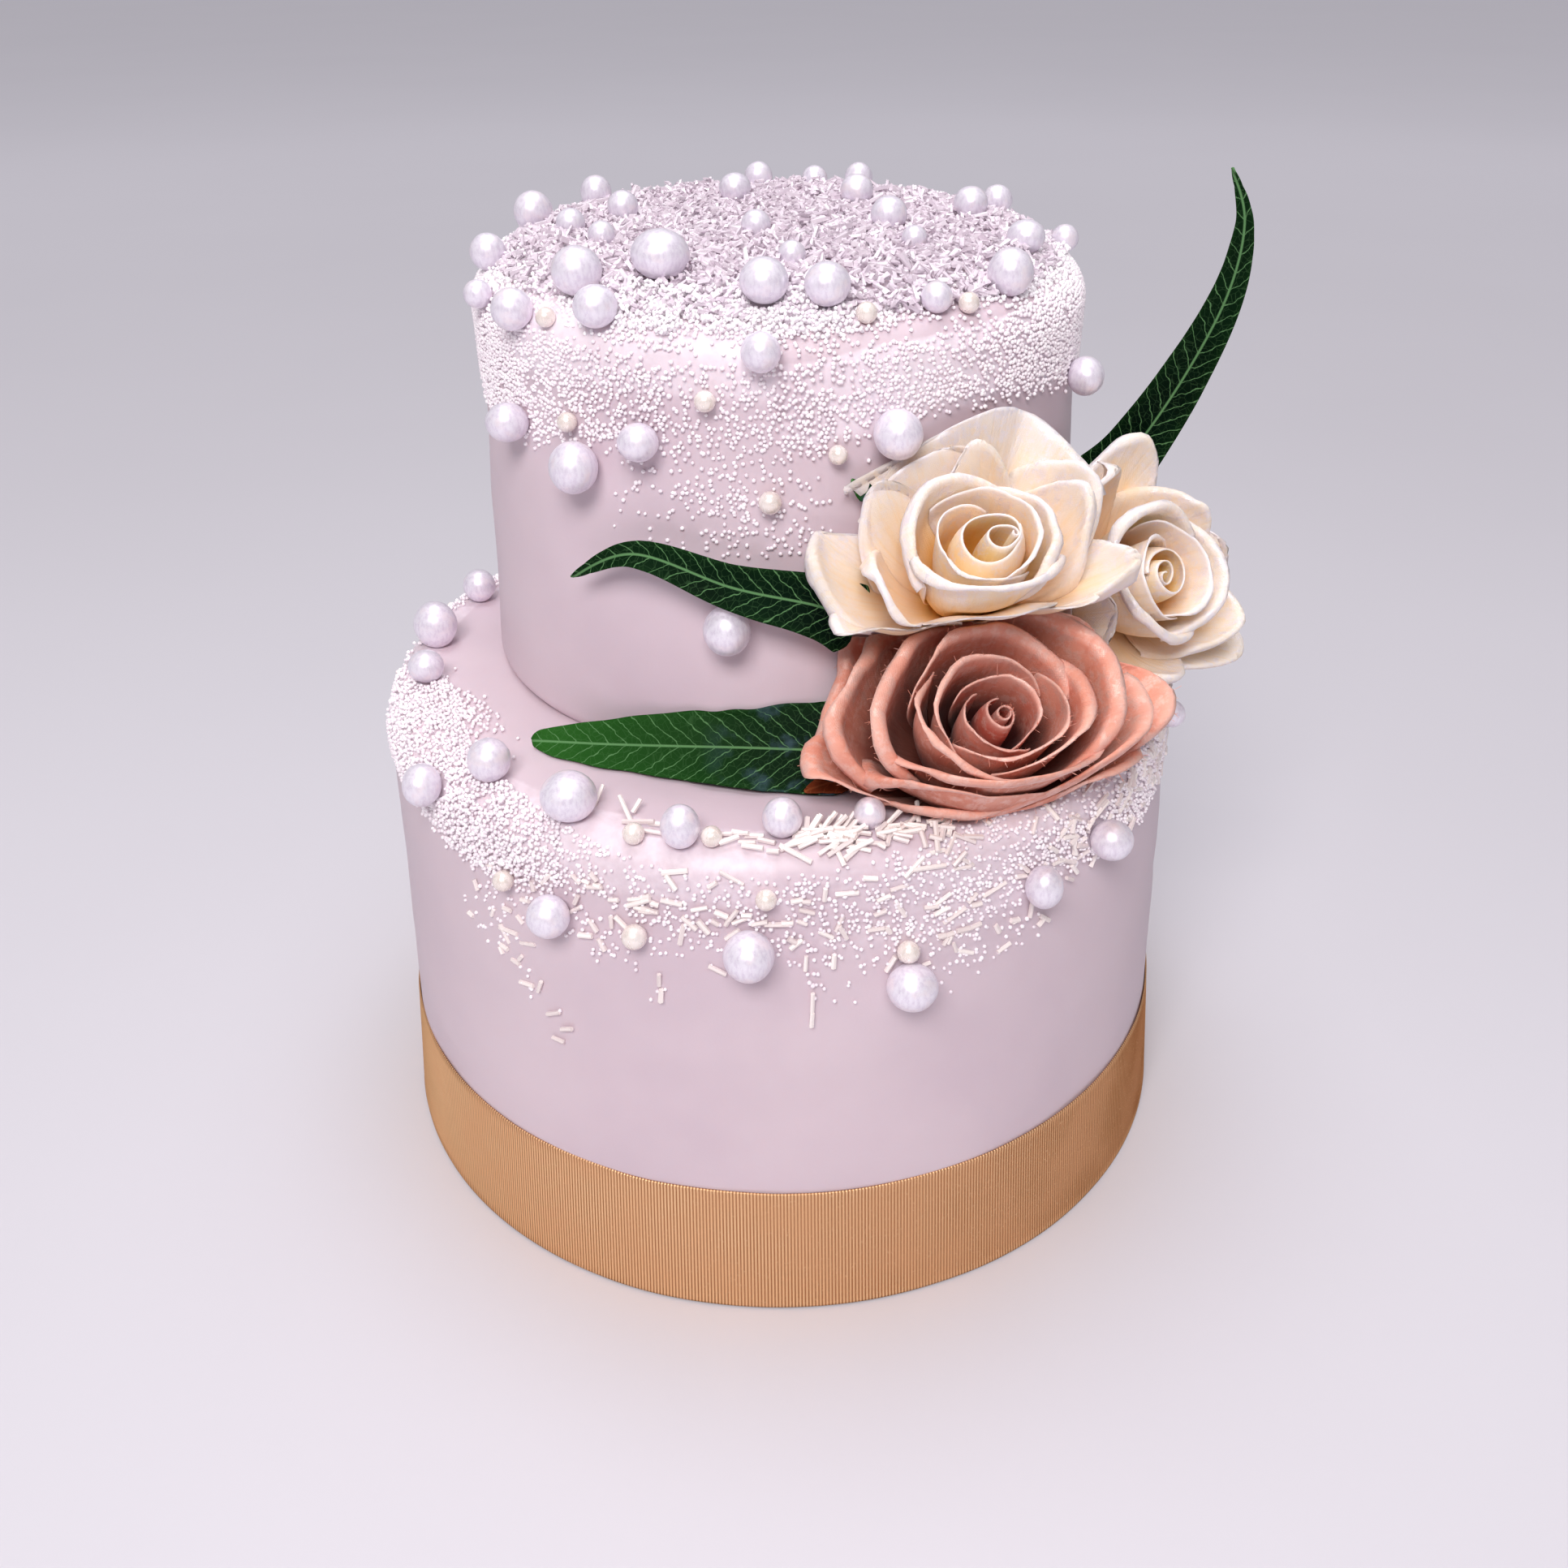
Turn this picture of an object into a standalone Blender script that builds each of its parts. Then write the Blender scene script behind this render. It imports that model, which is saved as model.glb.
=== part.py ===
"""A two-tier cake with sugar pearls, three fabric roses, leaves and a ribbon.

Lengths are in metres, +Z is up. The origin is on the lower tier's axis, on the
plane that the cake stands on, and -Y is the decorated front.
"""
import math
import random

import bmesh
import bpy
from mathutils import Vector

MM = 0.001
GAP = 0.3 * MM

# Tiers: an 8 inch and a 6 inch cake under rolled icing.
LOWER_FOOT = 103.0 * MM
LOWER_TOP = 100.6 * MM
LOWER_HEIGHT = 124.7 * MM
LOWER_ROUND = 8.0 * MM
UPPER_FOOT = 75.3 * MM
UPPER_TOP = 74.0 * MM
UPPER_WAIST = 73.3 * MM
UPPER_WAIST_HEIGHT = 70.0 * MM
UPPER_HEIGHT = 101.0 * MM
UPPER_ROUND = 9.0 * MM
UPPER_AXIS = Vector((1.0 * MM, 13.8 * MM, LOWER_HEIGHT + GAP))
HEAP_RADIUS = 61.0 * MM
HEAP_HEIGHT = 5.0 * MM
LOWER_STEPS = 64
UPPER_STEPS = 56
ROUND_STEPS = 4
PEARL_RINGS = 5
BEAD_RINGS = 4

# The ribbon round the foot of the lower tier.
RIBBON_HEIGHT = 34.0 * MM
RIBBON_LIFT = 0.5 * MM
RIBBON_WALL = 0.7 * MM
RIBBON_FLARE = 1.2 * MM

# Sugar pearls, each as (bearing in degrees from the front towards +X, distance from
# the tier's axis, height above the tier's foot, diameter), the last three in mm.
UPPER_PEARLS = [
    (-100, 62, 109, 9.6), (-127, 60, 109, 8.9), (-106, 40, 110, 8.2), (-79, 70, 104, 8.6),
    (-50, 76, 99, 9.0), (-32, 73, 103, 9.6), (-42, 64, 107, 11.0), (-27, 56, 110, 11.8),
    (-3, 63, 108, 10.6), (9, 63, 107, 9.6), (-175, 60, 109, 8.0), (-162, 36, 110, 8.6),
    (158, 60, 109, 8.4), (143, 34, 110, 9.4), (81, 27, 110, 8.8), (102, 49, 110, 9.0),
    (113, 62, 109, 8.0), (68, 61, 108, 8.8), (48, 68, 106, 10.4), (-3, 77, 97, 9.0),
    (67, 79, 77, 9.4), (-52, 79, 73, 9.8), (-35, 79, 68, 11.2), (-23, 78, 76, 8.8),
    (18, 79, 78, 10.6), (-9, 80, 35, 11.4),
]
LOWER_PEARLS = [
    (-111, 90, 130, 9.6), (-93, 91, 130, 11.6), (-79, 91, 130, 9.2), (-52, 104, 122, 9.8),
    (-45, 93, 130, 10.4), (-29, 95, 130, 11.6), (-13, 96, 129, 9.0), (0, 91, 129, 9.4),
    (-29, 106, 105, 9.6), (-4, 107, 104, 11.6), (15, 107, 93, 11.0), (33, 106, 108, 9.2),
    (45, 106, 111, 10.4),
]
BACK_PEARLS_UPPER = [(128, 78, 82, 10.2), (166, 78, 70, 9.0), (-160, 78, 86, 10.6), (-118, 79, 60, 9.4)]
BACK_PEARLS_LOWER = [(112, 91, 130, 10.0), (160, 101, 122, 9.2), (-150, 106, 106, 10.8), (140, 106, 98, 9.6)]

# Small pearls are fused to the tier that they lie on.
UPPER_BEADS = [
    (-84, 50, 109, 7.0), (-66, 45, 109, 6.4), (-66, 76, 99, 6.6), (4, 41, 109, 6.2), (-26, 12, 110, 7.0),
    (170, 60, 109, 7.1), (51, 40, 109, 6.0), (29, 68, 104, 6.8), (94, 72, 103, 6.8),
    (-43, 74, 99, 4.4), (15, 69, 102, 4.6), (35, 70, 102, 4.6), (-12, 76, 86, 4.6), (-38, 76, 77, 4.4),
    (9, 75, 74, 4.2), (-2, 76, 64, 5.0), (146, 76, 90, 5.0), (-140, 76, 84, 4.8),
]
LOWER_BEADS = [
    (70, 103, 122, 6.8), (12, 90, 128, 7.0), (-19, 97, 126, 4.8), (-9, 95, 126, 4.6),
    (-37, 104, 108, 4.8), (-18, 104, 104, 5.6), (-2, 103, 116, 4.6), (15, 103, 100, 5.0),
    (98, 102, 118, 5.0), (-172, 103, 112, 5.0),
]

# Sugar rods and flakes, as (first bearing, last bearing, lowest, highest, how many).
# Heights past the top of the tier's side run on inwards over the rim.
ROD_WIDTH = 1.5 * MM
ROD_LENGTHS = (4.0 * MM, 7.5 * MM)
ROD_PATCHES = [(-22, 2, 110, 122, 11), (3, 40, 98, 117, 11), (44, 66, 104, 121, 5), (120, 175, 104, 122, 4)]
FLAKE_LENGTHS = (2.6 * MM, 4.6 * MM)
FLAKE_WIDTH = 2.0 * MM
FLAKE_COUNT = 24


def material(name, colour, roughness, metallic=0.0):
    surface = bpy.data.materials.new(name)
    surface.use_nodes = True
    shader = surface.node_tree.nodes["Principled BSDF"]
    shader.inputs["Base Color"].default_value = (*colour, 1.0)
    shader.inputs["Roughness"].default_value = roughness
    shader.inputs["Metallic"].default_value = metallic
    return surface


def add_object(name, mesh, surface, collection):
    piece = bpy.data.objects.new(name, mesh)
    mesh.materials.clear()
    mesh.materials.append(surface)
    collection.objects.link(piece)
    return piece


def settle(piece):
    """Replaces an object's mesh by what its modifiers make of it."""
    bpy.context.view_layer.update()
    graph = bpy.context.evaluated_depsgraph_get()
    made = bpy.data.meshes.new_from_object(piece.evaluated_get(graph))
    piece.modifiers.clear()
    piece.data = made


def keep_outer_body(mesh):
    """Drops loose scraps and sealed hollows, which leaves the one outer skin."""
    work = bmesh.new()
    work.from_mesh(mesh)
    bmesh.ops.remove_doubles(work, verts=work.verts, dist=0.0003 * MM)
    bmesh.ops.dissolve_degenerate(work, edges=work.edges, dist=0.0003 * MM)
    bmesh.ops.triangulate(work, faces=work.faces)
    waiting = set(work.faces)
    bodies = []
    while waiting:
        stack = [waiting.pop()]
        body = []
        while stack:
            face = stack.pop()
            body.append(face)
            for edge in face.edges:
                for other in edge.link_faces:
                    if other in waiting:
                        waiting.remove(other)
                        stack.append(other)
        bodies.append(body)
    outer = max(bodies, key=len)
    scraps = [face for body in bodies if body is not outer for face in body]
    if scraps:
        bmesh.ops.delete(work, geom=scraps, context="FACES")
    work.to_mesh(mesh)
    work.free()


def fuse(body, pieces, solver="EXACT"):
    """Joins a list of closed pieces to a body with one Boolean union."""
    group = bpy.data.collections.new(body.name + "_pieces")
    bpy.context.scene.collection.children.link(group)
    for piece in pieces:
        for home in list(piece.users_collection):
            home.objects.unlink(piece)
        group.objects.link(piece)
    union = body.modifiers.new("fuse", "BOOLEAN")
    union.operation = "UNION"
    union.operand_type = "COLLECTION"
    union.collection = group
    union.solver = solver
    settle(body)
    for piece in pieces:
        bpy.data.objects.remove(piece)
    bpy.data.collections.remove(group)
    keep_outer_body(body.data)
    body.data.shade_smooth()
    body.data.set_sharp_from_angle(angle=math.radians(35))


def arc(centre_out, centre_up, radius, count):
    """Points of a quarter round, from facing outwards to facing up."""
    angles = [math.pi / 2 * step / (count - 1) for step in range(count)]
    return [(centre_out + radius * math.cos(a), centre_up + radius * math.sin(a)) for a in angles]


def lower_profile():
    edge = arc(LOWER_TOP - LOWER_ROUND, LOWER_HEIGHT - LOWER_ROUND, LOWER_ROUND, ROUND_STEPS)
    return [(0.0, 0.0), (LOWER_FOOT, 0.0), *edge, (0.0, LOWER_HEIGHT)]


def upper_profile():
    """The upper tier's outline, with the heap of flakes that covers its top."""
    edge = arc(UPPER_TOP - UPPER_ROUND, UPPER_HEIGHT - UPPER_ROUND, UPPER_ROUND, ROUND_STEPS)
    heap = UPPER_HEIGHT + HEAP_HEIGHT
    return [(0.0, 0.0), (UPPER_FOOT, 0.0), (UPPER_WAIST, UPPER_WAIST_HEIGHT), *edge,
            (HEAP_RADIUS, heap), (0.0, heap + 0.5 * MM)]


def turned(name, profile, steps, surface, collection, closed=False):
    """A solid turned from its outline, which runs from the top down its outer side."""
    mesh = bpy.data.meshes.new(name)
    points = [(out, 0.0, up) for out, up in reversed(profile)]
    links = [(index, index + 1) for index in range(len(points) - 1)]
    if closed:
        links.append((len(points) - 1, 0))
    mesh.from_pydata(points, links, [])
    piece = add_object(name, mesh, surface, collection)
    spin = piece.modifiers.new("turn", "SCREW")
    spin.axis = "Z"
    spin.angle = 2 * math.pi
    spin.steps = steps
    spin.render_steps = steps
    spin.use_merge_vertices = True
    spin.merge_threshold = 0.01 * MM
    settle(piece)
    return piece


def nearest_on(profile, out, up):
    """The nearest point of an outline to a place beside it, and the way the outline faces."""
    best = None
    place = Vector((out, up))
    for first, last in zip(profile[1:-1], profile[2:]):
        start = Vector(first)
        run = Vector(last) - start
        share = min(1.0, max(0.0, (place - start).dot(run) / run.length_squared))
        foot = start + run * share
        distance = (place - foot).length
        if best is None or distance < best[0]:
            facing = Vector((run.y, -run.x)).normalized()
            away = place - foot
            if away.length > 0.5 * MM and away.dot(facing) > 0:
                facing = away.normalized()
            best = (distance, foot, facing)
    return best[1], best[2]


class Tier:
    """Where things lie on one tier: its axis, foot height and outline."""

    def __init__(self, centre, profile):
        self.centre = centre
        self.profile = profile

    def spot(self, bearing, out, up):
        """A point on the tier's skin and its outward normal, from cylinder coordinates."""
        foot, facing = nearest_on(self.profile, out, up)
        side = Vector((math.sin(math.radians(bearing)), -math.cos(math.radians(bearing)), 0.0))
        point = self.centre + side * foot.x + Vector((0.0, 0.0, foot.y))
        normal = (side * facing.x + Vector((0.0, 0.0, facing.y))).normalized()
        return point, normal

    def pearl_seat(self, bearing, out, up, radius):
        """The centre of a ball that rests on the skin nearest to the place given."""
        for _ in range(3):
            foot, facing = nearest_on(self.profile, out, up)
            out = foot.x + facing.x * (radius + GAP)
            up = foot.y + facing.y * (radius + GAP)
        side = Vector((math.sin(math.radians(bearing)), -math.cos(math.radians(bearing)), 0.0))
        normal = (side * facing.x + Vector((0.0, 0.0, facing.y))).normalized()
        return self.centre + side * out + Vector((0.0, 0.0, up)), normal


def ball(name, centre, normal, diameter, rings, surface, collection, draw):
    """A sugar pearl: slightly out of round, with a flat where it sits on the icing."""
    work = bmesh.new()
    bmesh.ops.create_uvsphere(work, u_segments=rings + 4, v_segments=rings, radius=diameter / 2)
    stretch = Vector((draw.uniform(0.95, 1.04), draw.uniform(0.95, 1.04), 1.0))
    flat = -0.92 * diameter / 2
    for vertex in work.verts:
        vertex.co.x *= stretch.x
        vertex.co.y *= stretch.y
        vertex.co.z = max(vertex.co.z, flat)
    mesh = bpy.data.meshes.new(name)
    work.to_mesh(mesh)
    work.free()
    mesh.shade_smooth()
    piece = add_object(name, mesh, surface, collection)
    piece.location = centre - normal * 0.08 * diameter / 2
    piece.rotation_euler = normal.to_track_quat("Z", "Y").to_euler()
    return piece


def rod(centre, along, normal, length, width, surface, collection):
    """A sugar rod or flake, a five-sided bar that lies along the icing."""
    work = bmesh.new()
    bmesh.ops.create_cone(
        work, cap_ends=True, segments=5, radius1=width / 2, radius2=width / 2, depth=length)
    mesh = bpy.data.meshes.new("rod")
    work.to_mesh(mesh)
    work.free()
    piece = add_object("rod", mesh, surface, collection)
    piece.location = centre + normal * width * 0.3
    piece.rotation_euler = along.to_track_quat("Z", "Y").to_euler()
    return piece


def tangent(normal, turn):
    """A direction along a surface, turned from level by an angle."""
    level = Vector((0.0, 0.0, 1.0)).cross(normal)
    if level.length < 0.2:
        level = Vector((1.0, 0.0, 0.0)).cross(normal)
    level.normalize()
    return level * math.cos(turn) + normal.cross(level) * math.sin(turn)


def is_clear(point, reach, keep_clear):
    return all((point - centre).length > radius + reach for centre, radius in keep_clear)


def scatter_rods(tier, keep_clear, surface, collection, draw):
    """Sugar rods in drifts on the lower tier's side and over its rim."""
    pieces = []
    taken = list(keep_clear)
    for first, last, low, high, count in ROD_PATCHES:
        made = 0
        for _ in range(count * 12):
            if made == count:
                break
            bearing = draw.uniform(first, last)
            up = draw.uniform(low, high) * MM
            out = LOWER_FOOT - max(0.0, up - LOWER_HEIGHT + LOWER_ROUND) * draw.uniform(0.5, 1.5)
            point, normal = tier.spot(bearing, out, up)
            length = draw.uniform(*ROD_LENGTHS)
            along = tangent(normal, draw.gauss(0.0, 0.7))
            if not is_clear(point, length * 0.6, taken):
                continue
            pieces.append(rod(point, along, normal, length, ROD_WIDTH, surface, collection))
            taken.append((point, ROD_WIDTH))
            made += 1
    return pieces


def scatter_flakes(tier, keep_clear, surface, collection, draw):
    """Flakes spread evenly over the heap on the upper tier, by the golden angle."""
    pieces = []
    golden = math.degrees(math.pi * (3 - math.sqrt(5)))
    for index in range(FLAKE_COUNT):
        out = (UPPER_TOP - 3 * MM) * math.sqrt((index + 0.5) / FLAKE_COUNT)
        bearing = index * golden + draw.uniform(-4, 4)
        point, normal = tier.spot(bearing, out, UPPER_HEIGHT + HEAP_HEIGHT)
        length = draw.uniform(*FLAKE_LENGTHS)
        if not is_clear(point, length * 0.75, keep_clear):
            continue
        along = tangent(normal, draw.uniform(0, 2 * math.pi)) + normal * draw.uniform(0.0, 0.5)
        pieces.append(rod(point, along.normalized(), normal, length, FLAKE_WIDTH, surface, collection))
    return pieces


def press_out(point, clear):
    """Moves a point out of both tiers, to lie on the icing as a petal or leaf would."""
    for _ in range(2):
        side = Vector((point.x - UPPER_AXIS.x, point.y - UPPER_AXIS.y, 0.0))
        up = point.z - UPPER_AXIS.z
        skin = UPPER_FOOT + (UPPER_TOP - UPPER_FOOT) * up / UPPER_HEIGHT + clear
        if -clear < up < UPPER_HEIGHT and side.length < skin:
            push = side.normalized() * (skin - side.length)
            point = point + push
        side = Vector((point.x, point.y, 0.0))
        rise = LOWER_HEIGHT + clear - point.z
        spread = LOWER_TOP + clear - side.length
        if rise > 0 and spread > 0:
            if rise < spread:
                point = point + Vector((0.0, 0.0, rise))
            else:
                point = point + side.normalized() * spread
    return point


class Fence:
    """A plane between a rose and what is next to it: each is pressed to its own side."""

    def __init__(self, place, facing):
        self.place = Vector(place) * MM
        self.facing = Vector(facing).normalized()

    def press(self, point, side, clear):
        depth = (point - self.place).dot(self.facing) * side
        if depth < clear:
            point = point + self.facing * side * (clear - depth)
        return point


FRONT_OVER_DUSTY = Fence((44, -66, 163.5), (-0.10, 0.45, 0.88))
SIDE_BY_FRONT = Fence((81, -52, 168), (0.72, 0.66, -0.20))
SIDE_BEFORE_LEAF = Fence((86, -10.5, 180), (-0.32, -0.94, -0.08))
SIDE_BY_DUSTY = Fence((86, -62, 152), (0.55, 0.74, 0.38))


class Rose:
    """A fabric rose: its place, the way it faces, its petal rings and what it leans on."""

    def __init__(self, name, heart, bearing, tilt, height, spread, flatten, stand_off, fences, rings):
        self.name = name
        self.height = height * MM
        self.spread = spread * MM
        self.flatten = flatten
        self.stand_off = stand_off * MM
        self.fences = fences
        self.rings = rings
        turn, rise = math.radians(bearing), math.radians(tilt)
        ahead = Vector((math.sin(turn), -math.cos(turn), 0.0))
        self.axis = ahead * math.cos(rise) + Vector((0.0, 0.0, math.sin(rise)))
        self.right = Vector((math.cos(turn), math.sin(turn), 0.0))
        self.above = self.axis.cross(self.right)
        self.root = Vector(heart) * MM - self.axis * self.height

    def place(self, angle, radius, lift, clear):
        """A point at an angle round the axis, a radius from it and a height along it."""
        share = min(1.0, radius / self.spread)
        sideways = radius * math.cos(angle)
        upwards = radius * math.sin(angle)
        squeeze = self.flatten[0] if upwards > 0 else self.flatten[1]
        upwards *= 1 + (squeeze - 1) * share
        point = self.root + self.axis * lift + self.right * sideways + self.above * upwards
        for fence, side in self.fences:
            point = fence.press(point, side, clear)
        return press_out(point, clear + self.stand_off)


# Petal rings, inner to outer: petals, first angle in degrees, half width in degrees, reach
# and lip height as shares of the rose's spread and height, and how far the lip rolls over.
DUSTY_RINGS = [(2, 20, 92, 0.28, 1.00, 0.00), (3, 60, 66, 0.48, 0.98, 0.05),
               (3, 0, 64, 0.74, 0.86, 0.15), (5, -4, 43, 1.04, 0.66, 0.30)]
CREAM_RINGS = [(2, 80, 92, 0.30, 1.00, 0.00), (3, 20, 66, 0.54, 0.96, 0.08), (5, 52, 43, 1.04, 0.70, 0.25)]
BACK_PETAL = (1, 68, 32, 1.35, 0.78, 0.0)
ROSES = [
    Rose("rose_dusty", (46.5, -86, 151), 15, 52, 33, 41.0, (0.90, 0.42), 0.0,
         [(FRONT_OVER_DUSTY, -1), (SIDE_BY_DUSTY, -1)], DUSTY_RINGS),
    Rose("rose_cream_front", (44, -76, 187), 6, 56, 30, 38.0, (0.86, 0.60), 2.6,
         [(FRONT_OVER_DUSTY, 1), (SIDE_BY_FRONT, -1)], CREAM_RINGS + [BACK_PETAL]),
    Rose("rose_cream_side", (92, -40, 162), 38, 30, 28, 34.0, (0.95, 0.90), 0.0,
         [(SIDE_BY_FRONT, 1), (SIDE_BY_DUSTY, 1), (SIDE_BEFORE_LEAF, 1)], CREAM_RINGS),
]
PETAL_WALL = 1.2 * MM
PETAL_FOOT = 5.0 * MM
PETAL_COLUMNS = 3
PETAL_ROWS = 3
PETAL_OVERLAP = 1.5 * MM
PETAL_FOOT_LIFT = 0.12
LIP_ROUNDING = 0.22
CURL_START = 0.7
BUD_WIDTH = 0.25


def petal_shape(rose, ring, turn, across, along, clear):
    """A petal's surface: it runs from its foot out to a rounded lip that rolls over."""
    count, first, half, reach, lip, roll = ring
    lift = along * (1 - LIP_ROUNDING * across * across)
    width = math.radians(half) * (0.5 + 0.5 * math.sin(math.pi * (0.12 + 0.5 * along)))
    angle = turn + across * width
    radius = PETAL_FOOT + (reach * rose.spread - PETAL_FOOT) * lift ** 1.3
    radius += PETAL_OVERLAP * across * (0.4 + 0.6 * along)
    curl = max(0.0, lift - CURL_START) / (1 - CURL_START)
    rise = PETAL_FOOT_LIFT + (lip - PETAL_FOOT_LIFT) * lift ** 0.8 - roll * 0.5 * curl * curl
    return rose.place(angle, radius, rose.height * rise, clear)


def petal(rose, ring, level, index, surface, collection):
    turn = math.radians(ring[1] + 360 * index / ring[0])
    clear = GAP + PETAL_WALL * (0.7 + 1.3 * (len(rose.rings) - 1 - level) + 0.5 * (index % 2))
    work = bmesh.new()
    bmesh.ops.create_grid(work, x_segments=PETAL_COLUMNS, y_segments=PETAL_ROWS, size=1.0)
    for vertex in work.verts:
        across, along = vertex.co.x, (vertex.co.y + 1) / 2
        vertex.co = petal_shape(rose, ring, turn, across, along, clear)
    bmesh.ops.triangulate(work, faces=work.faces)
    mesh = bpy.data.meshes.new("petal")
    work.to_mesh(mesh)
    work.free()
    piece = add_object("petal", mesh, surface, collection)
    wall = piece.modifiers.new("wall", "SOLIDIFY")
    wall.thickness = PETAL_WALL
    wall.offset = 0.0
    settle(piece)
    return piece


def bud(rose, surface, collection):
    """The closed heart of a rose, down to the cup that its petals grow from."""
    work = bmesh.new()
    bmesh.ops.create_uvsphere(work, u_segments=10, v_segments=6, radius=1.0)
    width = BUD_WIDTH * rose.spread
    for vertex in work.verts:
        angle = math.atan2(vertex.co.y, vertex.co.x)
        radius = math.hypot(vertex.co.x, vertex.co.y) * width
        height = rose.height * (0.45 + 0.43 * vertex.co.z)
        vertex.co = rose.place(angle, radius, height, GAP)
    mesh = bpy.data.meshes.new(rose.name)
    work.to_mesh(mesh)
    work.free()
    return add_object(rose.name, mesh, surface, collection)


def make_rose(rose, surface, collection):
    body = bud(rose, surface, collection)
    petals = []
    for level, ring in enumerate(rose.rings):
        for index in range(ring[0]):
            petals.append(petal(rose, ring, level, index, surface, collection))
    # The petals cross too often for the exact solver, which leaves open edges.
    fuse(body, petals, "MANIFOLD")
    return body


class Leaf:
    """A leaf: its midrib from root to tip, widest half width, the way it faces, where it is
    widest, how fast it narrows from there and its fold."""

    def __init__(self, name, midrib, half, facing, widest, taper, fold):
        self.name = name
        self.midrib = [Vector(point) * MM for point in midrib]
        self.half = half * MM
        self.facing = Vector(facing).normalized()
        self.widest = widest
        self.taper = taper
        self.fold = fold

    def rib(self, share):
        """A point on a smooth curve through the midrib's points."""
        points = self.midrib
        last = len(points) - 1
        step = min(int(share * last), last - 1)
        part = share * last - step
        before, start = points[max(step - 1, 0)], points[step]
        end, after = points[step + 1], points[min(step + 2, last)]
        return 0.5 * (2 * start + (end - before) * part
                      + (2 * before - 5 * start + 4 * end - after) * part ** 2
                      + (3 * start - before - 3 * end + after) * part ** 3)

    def point(self, across, share):
        along = (self.rib(min(1.0, share + 0.02)) - self.rib(max(0.0, share - 0.02))).normalized()
        sideways = along.cross(self.facing).normalized()
        raised = sideways.cross(along)
        swell = (share / self.widest) ** 0.5 if share < self.widest else 1.0
        taper = 1.0 if share < self.widest else ((1 - share) / (1 - self.widest)) ** self.taper
        width = self.half * max(0.06, (0.55 + 0.45 * swell) * taper)
        wave = 0.05 * self.half * math.sin(14 * share) * across
        return (self.rib(share) + sideways * width * across
                + raised * (self.fold * width * abs(across) + wave))


LEAF_GREEN = (0.020, 0.085, 0.025)
LEAF_WALL = 0.6 * MM
LEAVES = [
    Leaf("leaf_upper", [(17, -67, 163), (8, -67, 167), (-10, -67, 171.5), (-31, -61, 177), (-46, -52, 168)],
         8.2, (-0.1, -0.95, 0.3), 0.08, 0.80, 0.12),
    Leaf("leaf_lower", [(7, -68, 132), (-6, -67, 132), (-21, -64, 131), (-42, -58, 128.6), (-58, -53, 127)],
         11.4, (-0.2, -0.7, 0.7), 0.05, 0.45, 0.10),
    Leaf("leaf_tall", [(80, -5, 170), (87, -8, 180), (96.5, -13, 200), (103.5, -18, 221), (105, -20, 238),
                       (101, -20, 250)], 8.6, (-0.3, -0.9, 0.25), 0.06, 0.95, 0.12),
    Leaf("leaf_small", [(19.6, -61.5, 190.5), (18, -61, 191), (15.6, -60, 193)],
         2.3, (0.2, -0.95, 0.2), 0.4, 0.75, 0.10),
    Leaf("sepal_brown", [(15, -73, 127.4), (11, -74, 127.0), (5, -77, 126.6)],
         3.8, (0.0, -0.3, 0.95), 0.4, 0.75, 0.05),
]


def make_leaf(leaf, surface, collection):
    """A thin leaf, folded a little along its midrib and wavy along its edges."""
    rows = max(4, round(sum((b - a).length for a, b in zip(leaf.midrib, leaf.midrib[1:])) / (7 * MM)))
    work = bmesh.new()
    bmesh.ops.create_grid(work, x_segments=2, y_segments=rows, size=1.0)
    for vertex in work.verts:
        vertex.co = press_out(leaf.point(vertex.co.x, (vertex.co.y + 1) / 2), LEAF_WALL + GAP)
    bmesh.ops.triangulate(work, faces=work.faces)
    mesh = bpy.data.meshes.new(leaf.name)
    work.to_mesh(mesh)
    work.free()
    mesh.shade_smooth()
    piece = add_object(leaf.name, mesh, surface, collection)
    wall = piece.modifiers.new("wall", "SOLIDIFY")
    wall.thickness = LEAF_WALL
    wall.offset = 0.0
    return piece


def make_ribbon(surface, collection):
    """A band round the lower tier's foot, standing out a little at its bottom edge."""
    def skin(up):
        return LOWER_FOOT + (LOWER_TOP - LOWER_FOOT) * up / (LOWER_HEIGHT - LOWER_ROUND) + GAP
    top = RIBBON_LIFT + RIBBON_HEIGHT
    inner = [(skin(top), top), (skin(RIBBON_LIFT) + RIBBON_FLARE * 0.5, RIBBON_LIFT)]
    outer = [(skin(RIBBON_LIFT) + RIBBON_FLARE + RIBBON_WALL, RIBBON_LIFT), (skin(top) + RIBBON_WALL, top)]
    return turned("ribbon", inner + outer, LOWER_STEPS, surface, collection, closed=True)


def make_pearls(tier, rows, prefix, surface, collection, draw):
    """Large pearls, one object each, and the room that small toppings leave for them."""
    room = []
    for number, (bearing, out, up, diameter) in enumerate(rows, start=1):
        centre, normal = tier.pearl_seat(bearing, out * MM, up * MM, diameter * MM / 2)
        ball(f"{prefix}_{number:02d}", centre, normal, diameter * MM, PEARL_RINGS, surface,
             collection, draw)
        room.append((centre, diameter * MM / 2 + GAP))
    return room


def make_beads(tier, rows, keep_clear, surface, collection, draw):
    """Small pearls, sunk a little into the icing so that they join it."""
    beads, room = [], []
    for bearing, out, up, diameter in rows:
        centre, normal = tier.pearl_seat(bearing, out * MM, up * MM, diameter * MM / 2)
        if not is_clear(centre, diameter * MM / 2, keep_clear):
            continue
        sunk = centre - normal * (GAP + 0.12 * diameter * MM)
        beads.append(ball("bead", sunk, normal, diameter * MM, BEAD_RINGS, surface, collection, draw))
        room.append((centre, diameter * MM / 2))
    return beads, room


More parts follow.
